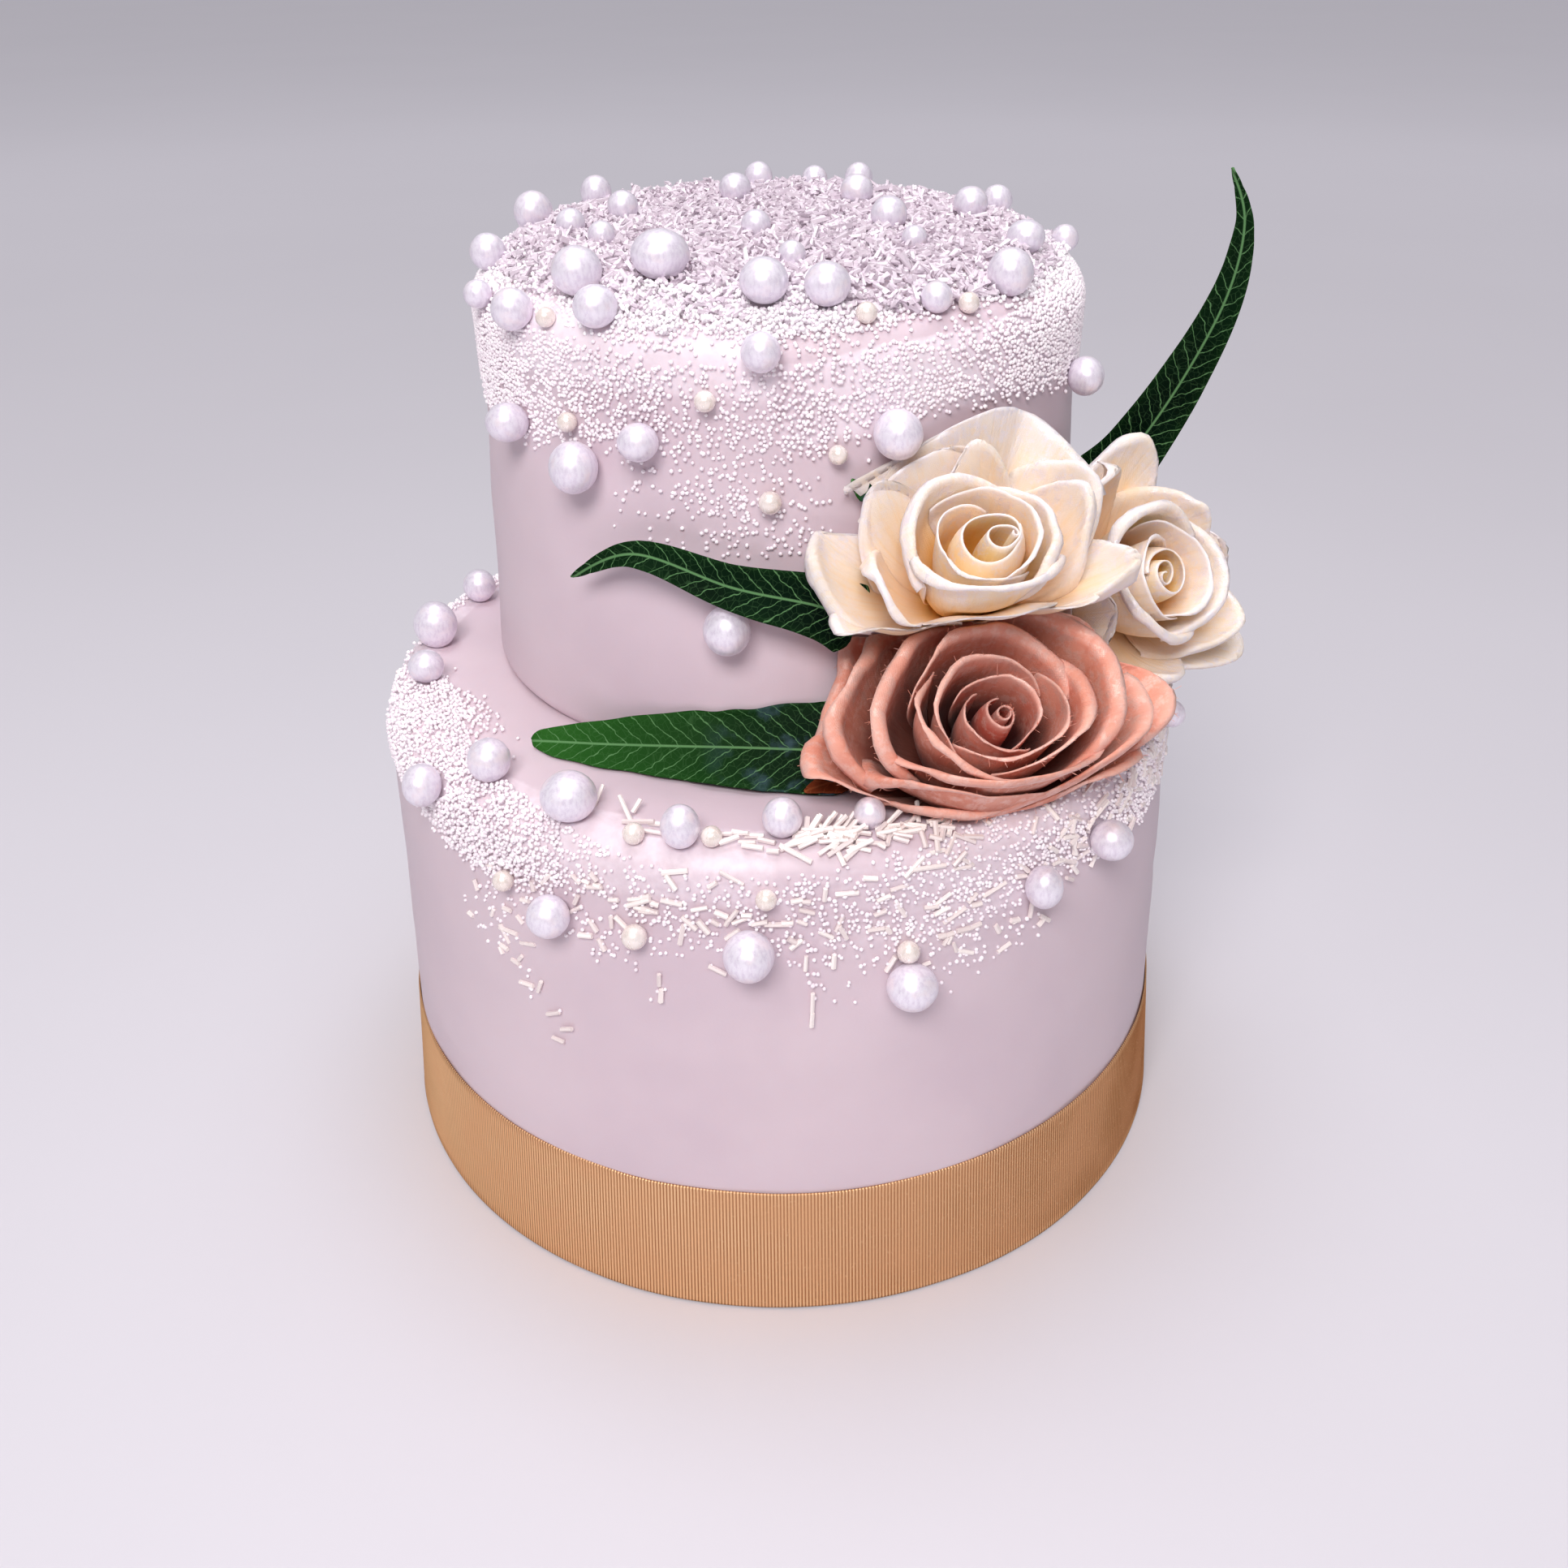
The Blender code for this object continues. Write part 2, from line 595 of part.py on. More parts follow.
def build():
    for old in list(bpy.data.objects):
        bpy.data.objects.remove(old)
    cake = bpy.data.collections.new("cake")
    bpy.context.scene.collection.children.link(cake)
    draw = random.Random(11)

    icing = material("icing", (0.72, 0.60, 0.63), 0.5)
    pearl = material("pearl_sugar", (0.66, 0.60, 0.68), 0.3, 0.35)
    gold = material("gold_ribbon", (0.58, 0.33, 0.13), 0.45, 0.2)
    cream = material("cream_petal", (0.88, 0.76, 0.60), 0.6)
    dusty = material("dusty_petal", (0.66, 0.29, 0.19), 0.65)
    green = material("leaf_green", LEAF_GREEN, 0.45)
    brown = material("sepal_brown", (0.20, 0.04, 0.015), 0.6)

    lower = Tier(Vector((0.0, 0.0, 0.0)), lower_profile())
    upper = Tier(UPPER_AXIS, upper_profile())
    lower_body = turned("lower_tier", lower.profile, LOWER_STEPS, icing, cake)
    upper_body = turned("upper_tier", upper.profile, UPPER_STEPS, icing, cake)
    upper_body.location = UPPER_AXIS
    make_ribbon(gold, cake)

    upper_room = make_pearls(upper, UPPER_PEARLS + BACK_PEARLS_UPPER, "pearl_upper", pearl, cake, draw)
    lower_room = make_pearls(lower, LOWER_PEARLS + BACK_PEARLS_LOWER, "pearl_lower", pearl, cake, draw)
    upper_beads, bead_room = make_beads(upper, UPPER_BEADS, upper_room, pearl, cake, draw)
    flakes = scatter_flakes(upper, upper_room + bead_room, icing, cake, draw)
    fuse(upper_body, upper_beads + flakes)
    lower_beads, bead_room = make_beads(lower, LOWER_BEADS, lower_room, pearl, cake, draw)
    rods = scatter_rods(lower, lower_room + bead_room, icing, cake, draw)
    fuse(lower_body, lower_beads + rods)

    for rose in ROSES:
        make_rose(rose, dusty if rose.name == "rose_dusty" else cream, cake)
    for leaf in LEAVES:
        make_leaf(leaf, brown if leaf.name == "sepal_brown" else green, cake)


build()
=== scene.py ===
# %% [markdown]
# # A two-tier cake with sugar pearls, fabric roses and a gold ribbon
#
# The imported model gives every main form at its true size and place. This script dresses it:
# rolled icing, pearls with a lustre, drifts of tiny sugar balls and sugar rods, a ribbed ribbon,
# three fabric roses and a few leaves. All lengths are in metres, Z is up, and the decorated
# front faces -Y. Lengths that come from measuring the cake are written in millimetres.

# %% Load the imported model
import bmesh
import bpy
import numpy as np
from mathutils import Matrix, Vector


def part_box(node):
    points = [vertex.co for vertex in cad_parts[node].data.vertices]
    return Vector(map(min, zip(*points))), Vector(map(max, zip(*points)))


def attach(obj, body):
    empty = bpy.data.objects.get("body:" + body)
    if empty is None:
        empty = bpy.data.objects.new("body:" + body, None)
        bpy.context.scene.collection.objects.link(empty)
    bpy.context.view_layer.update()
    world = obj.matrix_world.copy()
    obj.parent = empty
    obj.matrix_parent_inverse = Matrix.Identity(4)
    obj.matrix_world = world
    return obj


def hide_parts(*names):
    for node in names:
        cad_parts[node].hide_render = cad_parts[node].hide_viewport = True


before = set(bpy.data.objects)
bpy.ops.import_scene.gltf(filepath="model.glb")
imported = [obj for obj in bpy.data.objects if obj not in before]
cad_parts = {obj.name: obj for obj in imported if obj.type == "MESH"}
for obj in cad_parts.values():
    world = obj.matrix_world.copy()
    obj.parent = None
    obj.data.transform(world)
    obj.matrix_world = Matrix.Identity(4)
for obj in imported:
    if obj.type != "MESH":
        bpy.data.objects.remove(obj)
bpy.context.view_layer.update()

MM = 0.001

# %% [markdown]
# ## Camera
#
# The cake is seen from about half a metre away and 25 degrees above. The camera could be placed
# by eye, but the two tiers' rims and feet are circles of known size, so its height, distance and
# lens were solved from them. The small shift stands for the crop of the picture, which isn't
# centred on the lens axis.

# %% Camera
PITCH, YAW, ROLL = 0.445, 0.018, 0.006
CAMERA_HEIGHT, CAMERA_DISTANCE = 308.857 * MM, 375.188 * MM
FOCAL_PIXELS, CENTRE_X, CENTRE_Y, FRAME_PIXELS = 1947.604, 992.125, 773.0, 1932
SENSOR_WIDTH = 36.0

forward = np.array([np.sin(YAW) * np.cos(PITCH), np.cos(YAW) * np.cos(PITCH), -np.sin(PITCH)])
level = np.array([np.cos(YAW), -np.sin(YAW), 0.0])
down = np.cross(forward, level)
sideways = level * np.cos(ROLL) + down * np.sin(ROLL)
down = down * np.cos(ROLL) - level * np.sin(ROLL)

lens = bpy.data.cameras.new("camera")
lens.sensor_width = SENSOR_WIDTH
lens.lens = SENSOR_WIDTH * FOCAL_PIXELS / FRAME_PIXELS
lens.shift_x = -(CENTRE_X - FRAME_PIXELS / 2) / FRAME_PIXELS
lens.shift_y = (CENTRE_Y - FRAME_PIXELS / 2) / FRAME_PIXELS
lens.clip_start = 0.01
camera = bpy.data.objects.new("camera", lens)
bpy.context.scene.collection.objects.link(camera)
camera.matrix_world = Matrix([
    [sideways[0], -down[0], -forward[0], 0.0],
    [sideways[1], -down[1], -forward[1], -CAMERA_DISTANCE],
    [sideways[2], -down[2], -forward[2], CAMERA_HEIGHT],
    [0.0, 0.0, 0.0, 1.0]])
bpy.context.scene.camera = camera
print("lens", round(lens.lens, 2), "mm")

# %% [markdown]
# ## Helpers for shapes
#
# Every new piece is a surface worked out with numpy. A shape is a function of two parameters on
# a grid, so its points are one array, and its faces join neighbours on that grid. Writing the
# arrays straight into the mesh is much faster than adding vertices one at a time, which matters
# here because there are tens of thousands of sugar balls.

# %% Helpers for shapes
def grid_faces(rows, columns, wrap=False):
    """Quads of a rows x columns grid: (i, j), (i, j+1), (i+1, j+1), (i+1, j). With wrap, the
    last column joins the first."""
    last = columns if wrap else columns - 1
    i, j = np.meshgrid(np.arange(rows - 1), np.arange(last), indexing="ij")
    k = (j + 1) % columns
    return np.stack([i * columns + j, i * columns + k, (i + 1) * columns + k, (i + 1) * columns + j],
                    axis=-1).reshape(-1, 4)


def add_piece(name, points, faces, material, values=None, uv=None, smooth=True):
    """Makes a mesh object from an array of points and one of faces. values maps a name to one
    number a point, and uv is one pair a point."""
    mesh = bpy.data.meshes.new(name)
    mesh.vertices.add(len(points))
    mesh.vertices.foreach_set("co", np.asarray(points, np.float32).ravel())
    mesh.loops.add(faces.size)
    mesh.loops.foreach_set("vertex_index", faces.astype(np.int32).ravel())
    mesh.polygons.add(len(faces))
    mesh.polygons.foreach_set("loop_start", np.arange(len(faces), dtype=np.int32) * faces.shape[1])
    mesh.polygons.foreach_set("use_smooth", np.full(len(faces), smooth))
    mesh.update(calc_edges=True)
    for label, numbers in (values or {}).items():
        attribute = mesh.attributes.new(label, "FLOAT", "POINT")
        attribute.data.foreach_set("value", np.asarray(numbers, np.float32).ravel())
    if uv is not None:
        layer = mesh.uv_layers.new(name="UVMap")
        layer.data.foreach_set("uv", np.asarray(uv, np.float32)[faces.ravel()].ravel())
    mesh.materials.append(material)
    piece = bpy.data.objects.new(name, mesh)
    bpy.context.scene.collection.objects.link(piece)
    return piece


def close_poles(piece, distance=0.01 * MM):
    """Merges the points that meet at a pole or seam, and turns the faces outwards."""
    work = bmesh.new()
    work.from_mesh(piece.data)
    bmesh.ops.remove_doubles(work, verts=work.verts, dist=distance)
    bmesh.ops.recalc_face_normals(work, faces=work.faces)
    work.to_mesh(piece.data)
    work.free()


def fix(piece, slot, *nodes):
    """Rides a piece on the cake and hides the nodes that it stands for. Its slot, the finish's name, is
    not used.
    """
    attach(piece, "root")
    if nodes:
        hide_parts(*nodes)
    piece.data.calc_loop_triangles()
    print(piece.name, len(piece.data.loop_triangles), "triangles")


def unit(vectors):
    return vectors / np.maximum(np.linalg.norm(vectors, axis=-1, keepdims=True), 1e-12)


def side_way(bearing):
    """The level direction at a bearing b from the front: (sin b, -cos b, 0)."""
    return np.stack([np.sin(bearing), -np.cos(bearing), np.zeros_like(bearing)], axis=-1)


def thicken(piece, thickness, offset):
    """Gives a sheet its thickness, on both sides of its points or (offset -1) on the inner one."""
    wall = piece.modifiers.new("cloth", "SOLIDIFY")
    wall.thickness, wall.offset = thickness, offset


NOISE_CELLS = 64


class Noise:
    """Smooth noise: random numbers on a grid, blended between the nearest four with the weight
    t*t*(3 - 2t). It repeats every 64 cells."""

    def __init__(self, seed):
        self.table = np.random.default_rng(seed).random((NOISE_CELLS, NOISE_CELLS))

    def __call__(self, u, v):
        i, j = np.floor(u).astype(int), np.floor(v).astype(int)
        s, t = u - i, v - j
        s, t = s * s * (3 - 2 * s), t * t * (3 - 2 * t)
        i, j, k, m = (number % NOISE_CELLS for number in (i, j, i + 1, j + 1))
        near = self.table[i, j] * (1 - t) + self.table[i, m] * t
        far = self.table[k, j] * (1 - t) + self.table[k, m] * t
        return near * (1 - s) + far * s


# %% [markdown]
# ## Helpers for materials
#
# Each finish is a small graph of nodes that ends in a Principled shader. One helper adds a node
# and links or sets its inputs, so that a material reads almost like a recipe. Effects that
# several finishes share are node groups, made once: the fine grain of sugar and the weave of
# cloth.

# %% Helpers for materials
def put(tree, kind, inputs=None, **settings):
    """Adds a node. inputs maps an input's name or number to a value, or to a socket to link."""
    node = tree.nodes.new(kind)
    for name, value in settings.items():
        setattr(node, name, value)
    for name, value in (inputs or {}).items():
        if isinstance(value, bpy.types.NodeSocket):
            tree.links.new(value, node.inputs[name])
        else:
            node.inputs[name].default_value = value
    return node


def sums(tree, operation, *values):
    """A Math node's result, from constants or sockets."""
    return put(tree, "ShaderNodeMath", dict(enumerate(values)), operation=operation).outputs[0]


def times(tree, first, second):
    return sums(tree, "MULTIPLY", first, second)


def blend(tree, share, first, second):
    """Mixes two colours by a share from 0 to 1."""
    node = put(tree, "ShaderNodeMix", data_type="RGBA")
    for index, value in ((0, share), (6, first), (7, second)):
        if isinstance(value, bpy.types.NodeSocket):
            tree.links.new(value, node.inputs[index])
        else:
            node.inputs[index].default_value = value
    return node.outputs[2]


def spread(tree, value, low, high, to_low=0.0, to_high=1.0):
    """Maps low..high to to_low..to_high, clamped, with a smooth start and end."""
    return put(tree, "ShaderNodeMapRange",
               {"Value": value, "From Min": low, "From Max": high, "To Min": to_low, "To Max": to_high},
               interpolation_type="SMOOTHSTEP").outputs[0]


def cloudy(tree, vector, scale, detail, **more):
    """A Noise texture's value: 0 to 1, in lumps of 1 / scale."""
    inputs = {"Vector": vector, "Scale": scale, "Detail": detail, **more}
    return put(tree, "ShaderNodeTexNoise", inputs).outputs[0]


def point_value(tree, name):
    """A number that the mesh keeps for each of its points."""
    return put(tree, "ShaderNodeAttribute", attribute_name=name).outputs["Fac"]


def srgb(red, green, blue):
    """A colour as seen on screen, 0..255, made linear: ((c + 0.055) / 1.055) ** 2.4."""
    parts = [channel / 255 for channel in (red, green, blue)]
    return (*[c / 12.92 if c < 0.04045 else ((c + 0.055) / 1.055) ** 2.4 for c in parts], 1.0)


def new_material(name, **values):
    """A material with its tree, its shader and the Object coordinates of the piece."""
    material = bpy.data.materials.new(name)
    material.use_nodes = True
    tree = material.node_tree
    shader = tree.nodes["Principled BSDF"]
    for label, value in values.items():
        shader.inputs[label.replace("_", " ")].default_value = value
    place = put(tree, "ShaderNodeTexCoord").outputs["Object"]
    return material, tree, shader, place


def new_group(name, inputs, outputs):
    """An empty node group with named inputs (name, kind, value) and outputs (name, kind)."""
    group = bpy.data.node_groups.new(name, "ShaderNodeTree")
    for label, kind, value in inputs:
        socket = group.interface.new_socket(name=label, in_out="INPUT", socket_type=kind)
        if value is not None:
            socket.default_value = value
    for label, kind in outputs:
        group.interface.new_socket(name=label, in_out="OUTPUT", socket_type=kind)
    return group, group.nodes.new("NodeGroupInput"), group.nodes.new("NodeGroupOutput")


def use_group(tree, group, inputs):
    return put(tree, "ShaderNodeGroup", inputs, node_tree=group)


def finish(tree, shader, tint, roughness, height, strength, distance):
    """Links a colour and a roughness to the shader, and a height to it through a Bump node."""
    tree.links.new(tint, shader.inputs["Base Color"])
    if isinstance(roughness, bpy.types.NodeSocket):
        tree.links.new(roughness, shader.inputs["Roughness"])
    else:
        shader.inputs["Roughness"].default_value = roughness
    node = put(tree, "ShaderNodeBump", {"Height": height, "Strength": strength, "Distance": distance})
    tree.links.new(node.outputs["Normal"], shader.inputs["Normal"])


# %% Shared effects: grain of sugar and weave of cloth
GRAIN, given, made = new_group(
    "sugar_grain",
    [("Place", "NodeSocketVector", None), ("Coarse", "NodeSocketFloat", 60.0),
     ("Fine", "NodeSocketFloat", 900.0)],
    [("Mottle", "NodeSocketFloat"), ("Height", "NodeSocketFloat")])
coarse = cloudy(GRAIN, given.outputs[0], given.outputs[1], 3.0)
fine = cloudy(GRAIN, given.outputs[0], given.outputs[2], 2.0)
GRAIN.links.new(coarse, made.inputs["Mottle"])
both = sums(GRAIN, "ADD", times(GRAIN, coarse, 0.75), times(GRAIN, fine, 0.25))
GRAIN.links.new(both, made.inputs["Height"])

WEAVE, given, made = new_group(
    "cloth_weave",
    [("Place", "NodeSocketVector", None), ("Threads", "NodeSocketFloat", 3.0)],
    [("Height", "NodeSocketFloat")])
parts = put(WEAVE, "ShaderNodeSeparateXYZ", {0: given.outputs[0]})
turns = times(WEAVE, given.outputs[1], np.pi)
warp = sums(WEAVE, "SINE", times(WEAVE, parts.outputs[0], turns))
weft = sums(WEAVE, "SINE", times(WEAVE, parts.outputs[1], turns))
slub = cloudy(WEAVE, given.outputs[0], 1.6, 3.0)
crossing = times(WEAVE, times(WEAVE, warp, weft), 0.35)
WEAVE.links.new(sums(WEAVE, "ADD", crossing, slub), made.inputs["Height"])
print("groups:", GRAIN.name, WEAVE.name)

# %% [markdown]
# ## Floor and light
#
# The cake was photographed in soft daylight that comes mostly from the camera's side and from
# above, with a pale ground that throws light back. A large soft box in front and above, a weaker
# one at the left, one overhead and a pale surround give the same shade with soft contact shadows.
# A last lamp far behind, and a faint glow of the far floor, keep the ground even up to the top
# of the picture.

# %% Floor and light
FLOOR_RADIUS, FLOOR_RINGS, FLOOR_SIDES = 6.0, 9, 64


def add_floor():
    """A flat disc: rings of points at radius R t, (R t cos a, R t sin a, 0)."""
    t = np.linspace(0.0, FLOOR_RADIUS, FLOOR_RINGS)[:, None]
    angle = np.linspace(0, 2 * np.pi, FLOOR_SIDES, endpoint=False)[None, :]
    points = np.stack([t * np.cos(angle), t * np.sin(angle), 0 * t * angle], axis=-1)
    material, tree, shader, place = new_material("floor_paint", Emission_Strength=1.0)
    grain = use_group(tree, GRAIN, {"Place": place, "Coarse": 3.0, "Fine": 400.0})
    tint = blend(tree, grain.outputs["Mottle"], srgb(206, 202, 209), srgb(213, 209, 216))
    away = put(tree, "ShaderNodeVectorMath", {0: place}, operation="LENGTH").outputs["Value"]
    far_glow = blend(tree, spread(tree, away, 0.2, 1.9), (0.0, 0.0, 0.0, 1.0), (0.27, 0.26, 0.29, 1.0))
    tree.links.new(far_glow, shader.inputs["Emission Color"])
    finish(tree, shader, tint, 0.62, grain.outputs["Height"], 0.05, 0.5 * MM)
    faces = grid_faces(FLOOR_RINGS, FLOOR_SIDES, wrap=True)
    floor = add_piece("floor", points.reshape(-1, 3), faces, material)
    close_poles(floor)
    if floor.data.polygons[0].normal.z < 0:
        floor.data.flip_normals()


def add_light(name, place, aim, size, power, colour):
    """A square area light that faces a point."""
    lamp = bpy.data.lights.new(name, "AREA")
    lamp.shape = "RECTANGLE"
    lamp.size, lamp.size_y = size
    lamp.energy = power
    lamp.color = colour
    light = bpy.data.objects.new(name, lamp)
    bpy.context.scene.collection.objects.link(light)
    back = unit(np.array(place, float) - np.array(aim, float))
    across = unit(np.cross([0.0, 0.0, 1.0], back))
    turn = np.stack([across, np.cross(back, across), back], axis=1)
    light.matrix_world = Matrix.Translation(place) @ Matrix(turn.tolist()).to_4x4()


add_floor()
add_light("key", (-0.2, -1.2, 1.3), (0, 0, 0.14), (0.8, 0.5), 23.0, (1.0, 0.98, 0.97))
add_light("left_fill", (-1.3, -0.5, 0.7), (0, 0, 0.12), (0.8, 0.9), 0.3, (0.96, 0.96, 1.0))
add_light("overhead", (0.0, 0.15, 1.5), (0, 0, 0.2), (1.0, 1.0), 12.5, (0.97, 0.97, 1.0))
add_light("floor_wash", (0.0, 2.4, 2.2), (0, 2.4, 0), (3.5, 2.0), 45.0, (0.97, 0.97, 1.0))
surround = bpy.data.worlds.new("surround")
surround.use_nodes = True
surround.node_tree.nodes["Background"].inputs["Color"].default_value = (0.90, 0.88, 0.93, 1.0)
surround.node_tree.nodes["Background"].inputs["Strength"].default_value = 0.235
bpy.context.scene.world = surround
bpy.context.scene.view_settings.view_transform = "Standard"

# %% [markdown]
# ## The tiers' outlines
#
# Each tier is turned: an outline carried once round an axis. The same outline also tells where
# toppings lie, so it is kept as a table of points with the distance run along it from the foot.
# A topping's place is then a bearing and a distance: up the side, round the rim and in along
# the top.

# %% The tiers' outlines
RIM_POINTS, OUTLINE_POINTS = 13, 800


class Tier:
    """A turned tier: its axis and outline, which runs up its side, over its rim and inwards."""

    def __init__(self, centre, corners, rim_out, rim_up, rim_radius, after):
        """The rim is a quarter round: (rim_out + r cos a, rim_up + r sin a) for a from 0 to 90
        degrees. corners come before it and after comes behind it."""
        a = np.linspace(0, np.pi / 2, RIM_POINTS)
        rim = np.stack([rim_out + rim_radius * np.cos(a), rim_up + rim_radius * np.sin(a)], axis=1)
        rough = np.concatenate([corners, rim, after])
        run = np.concatenate([[0], np.cumsum(np.linalg.norm(np.diff(rough, axis=0), axis=1))])
        self.length = run[-1]
        self.run = np.linspace(0, run[-1], OUTLINE_POINTS)
        self.out = np.interp(self.run, run, rough[:, 0])
        self.up = np.interp(self.run, run, rough[:, 1])
        self.centre = np.array(centre)
        self.rim = run[len(corners)], run[len(corners) + RIM_POINTS - 1]

    def skin(self, bearing, run):
        """Points on the skin and their outward normals, at bearings and runs along the outline."""
        out, up = np.interp(run, self.run, self.out), np.interp(run, self.run, self.up)
        step = 0.6 * MM
        ahead = (np.interp(run + step, self.run, self.out) - np.interp(run - step, self.run, self.out),
                 np.interp(run + step, self.run, self.up) - np.interp(run - step, self.run, self.up))
        size = np.hypot(*ahead) + 1e-9
        side = side_way(bearing)
        point = self.centre + side * out[..., None]
        point[..., 2] += up
        normal = side * (ahead[1] / size)[..., None]
        normal[..., 2] -= ahead[0] / size
        return point, normal

    def nearest(self, out, up):
        """The run of the outline's point nearest to a place beside it."""
        return self.run[np.argmin((self.out - out) ** 2 + (self.up - up) ** 2)]


LOWER_HEIGHT, UPPER_HEIGHT = 124.7 * MM, 101.0 * MM
GAP = 0.3 * MM           # What pressed things keep off the icing.
lower = Tier((0.0, 0.0, 0.0), np.array([[101.4, 0.0], [103.0, 1.6]]) * MM,
             92.6 * MM, 116.7 * MM, 8.0 * MM, np.array([[0.0, 124.7]]) * MM)
upper = Tier((1.0 * MM, 13.8 * MM, LOWER_HEIGHT), np.array([[73.4, 0.0], [75.3, 2.2], [73.3, 70.0]]) * MM,
             65.0 * MM, 92.0 * MM, 9.0 * MM,
             np.array([[63.5, 102.5], [60.0, 104.8], [54.0, 106.0], [0.0, 106.5]]) * MM)
for label, tier in (("lower", lower), ("upper", upper)):
    print(label, "rim runs from", round(tier.rim[0] / MM, 1), "to", round(tier.rim[1] / MM, 1), "mm")

# %% [markdown]
# ## Rolled icing
#
# Rolled icing is a smooth, slightly translucent sugar paste. Smoothed by hand, it keeps faint
# swells and dents, and a soft satin shine. The tiers are turned surfaces with a low uneven
# swell added, and the finish mixes two near tints, lets a little light in under the skin, and
# has a fine grain in its bump. Where sugar was pressed on, the icing is painted whiter, as noted
# in the attribute sugar: partly sugar dust, and partly painted light that lifts the shade in the
# gaps between the sugar balls. The tiers themselves are built after the drifts, which tell where.

# %% Icing finish
icing, tree, shader, place = new_material(
    "rolled_icing", Subsurface_Weight=0.25, Subsurface_Scale=2.0 * MM, Subsurface_Radius=(1.0, 0.7, 0.6))
grain = use_group(tree, GRAIN, {"Place": place, "Coarse": 22.0, "Fine": 1400.0})
mottle = spread(tree, grain.outputs["Mottle"], 0.3, 0.7)
tint = blend(tree, mottle, srgb(209, 189, 199), srgb(217, 198, 206))
speckle = times(tree, cloudy(tree, place, 500.0, 3.0), 0.5)
# Painted light: where the drifts lie, the icing is whitened, which lifts the shade in the gaps between the
# sugar balls. It stands for sugar dust as well.
dust_and_painted_light = sums(tree, "ADD", point_value(tree, "sugar"), speckle)
tint = blend(tree, spread(tree, dust_and_painted_light, 0.48, 1.05, 0.0, 0.8), tint, srgb(241, 228, 236))
rough = spread(tree, grain.outputs["Mottle"], 0.3, 0.7, 0.42, 0.55)
finish(tree, shader, tint, rough, grain.outputs["Height"], 0.25, 0.35 * MM)
print("finish:", icing.name)


# %% The two iced tiers
def iced_tier(name, tier, seed, swell, fullness, columns=256, rows=150):
    """A turned surface: centre + side(b) * out(s) + up(s), moved along its normal by
    swell * (noise(b, s) - 0.5). The bottom is closed by a last ring at the axis, and the
    fullness of the drifts at each point is kept as sugar."""
    s = np.linspace(0, tier.length, rows)[:, None]
    b = np.linspace(0, 2 * np.pi, columns, endpoint=False)[None, :]
    point, normal = tier.skin(b + 0 * s, s + 0 * b)
    wide, small = Noise(seed), Noise(seed + 1)
    cells = b / (2 * np.pi) * NOISE_CELLS
    depth = wide(cells * 0.25, s / (22 * MM)) + 0.35 * small(cells * 0.5, s / (9 * MM)) - 0.67
    fade = np.clip(s / (10 * MM), 0, 1) * np.clip((tier.length - s) / (10 * MM), 0, 1)
    point = point + normal * (swell * depth * fade)[..., None]
    hub = np.repeat(tier.centre[None, None, :], columns, axis=1)
    hub[..., 2] += tier.up[0]
    point = np.concatenate([hub, point])
    # The sugar attribute whitens the icing: sugar dust, and painted light that lifts the shade between the
    # balls.
    sugar = np.concatenate([0 * b, fullness(b + 0 * s, s + 0 * b)])
    piece = add_piece(name, point.reshape(-1, 3), grid_faces(rows + 1, columns, wrap=True), icing,
                      {"sugar": sugar})
    close_poles(piece)
    return piece


# %% [markdown]
# ## Sugar pearls
#
# The large pearls are rolled by hand and brushed with a silvery lustre dust: they are a little
# out of round, flat where they rest, and show fine brush streaks. Each is a sphere on a grid,
# stretched a little and dented by slow waves. All of them share one mesh, and take their places
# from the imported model's nodes.

# %% Pearl finish
def lustre_material(name, dark, light, warm, metallic, rough, scale):
    """A brushed lustre: streaks from noise that is stretched along one axis, over a soft mottle
    of three near tints, with fine bright glints. The roughness follows the streaks."""
    material, tree, shader, place = new_material(
        name, Metallic=metallic, Coat_Weight=0.15, Coat_Roughness=0.25)
    stretched = put(tree, "ShaderNodeMapping",
                    {"Vector": place, "Rotation": (0.5, 0.3, 0.7), "Scale": (1.0, 1.0, 0.45)}).outputs[0]
    streak = cloudy(tree, stretched, scale, 4.0)
    soft, glint = cloudy(tree, place, scale * 0.22, 2.0), cloudy(tree, place, scale * 4.0, 2.0)
    tint = blend(tree, spread(tree, streak, 0.25, 0.65), dark, light)
    tint = blend(tree, spread(tree, soft, 0.5, 0.75, 0.0, 0.7), tint, warm)
    tint = blend(tree, spread(tree, glint, 0.58, 0.70, 0.0, 0.6), tint, srgb(255, 252, 255))
    streaky = spread(tree, streak, 0.3, 0.7, rough - 0.01, rough + 0.04)
    finish(tree, shader, tint, streaky, streak, 0.12, 0.1 * MM)
    return material


pearl_lustre = lustre_material(
    "pearl_lustre", srgb(224, 213, 229), srgb(241, 234, 245), srgb(247, 232, 238), 0.30, 0.34, 1300.0)
print("finish:", pearl_lustre.name)


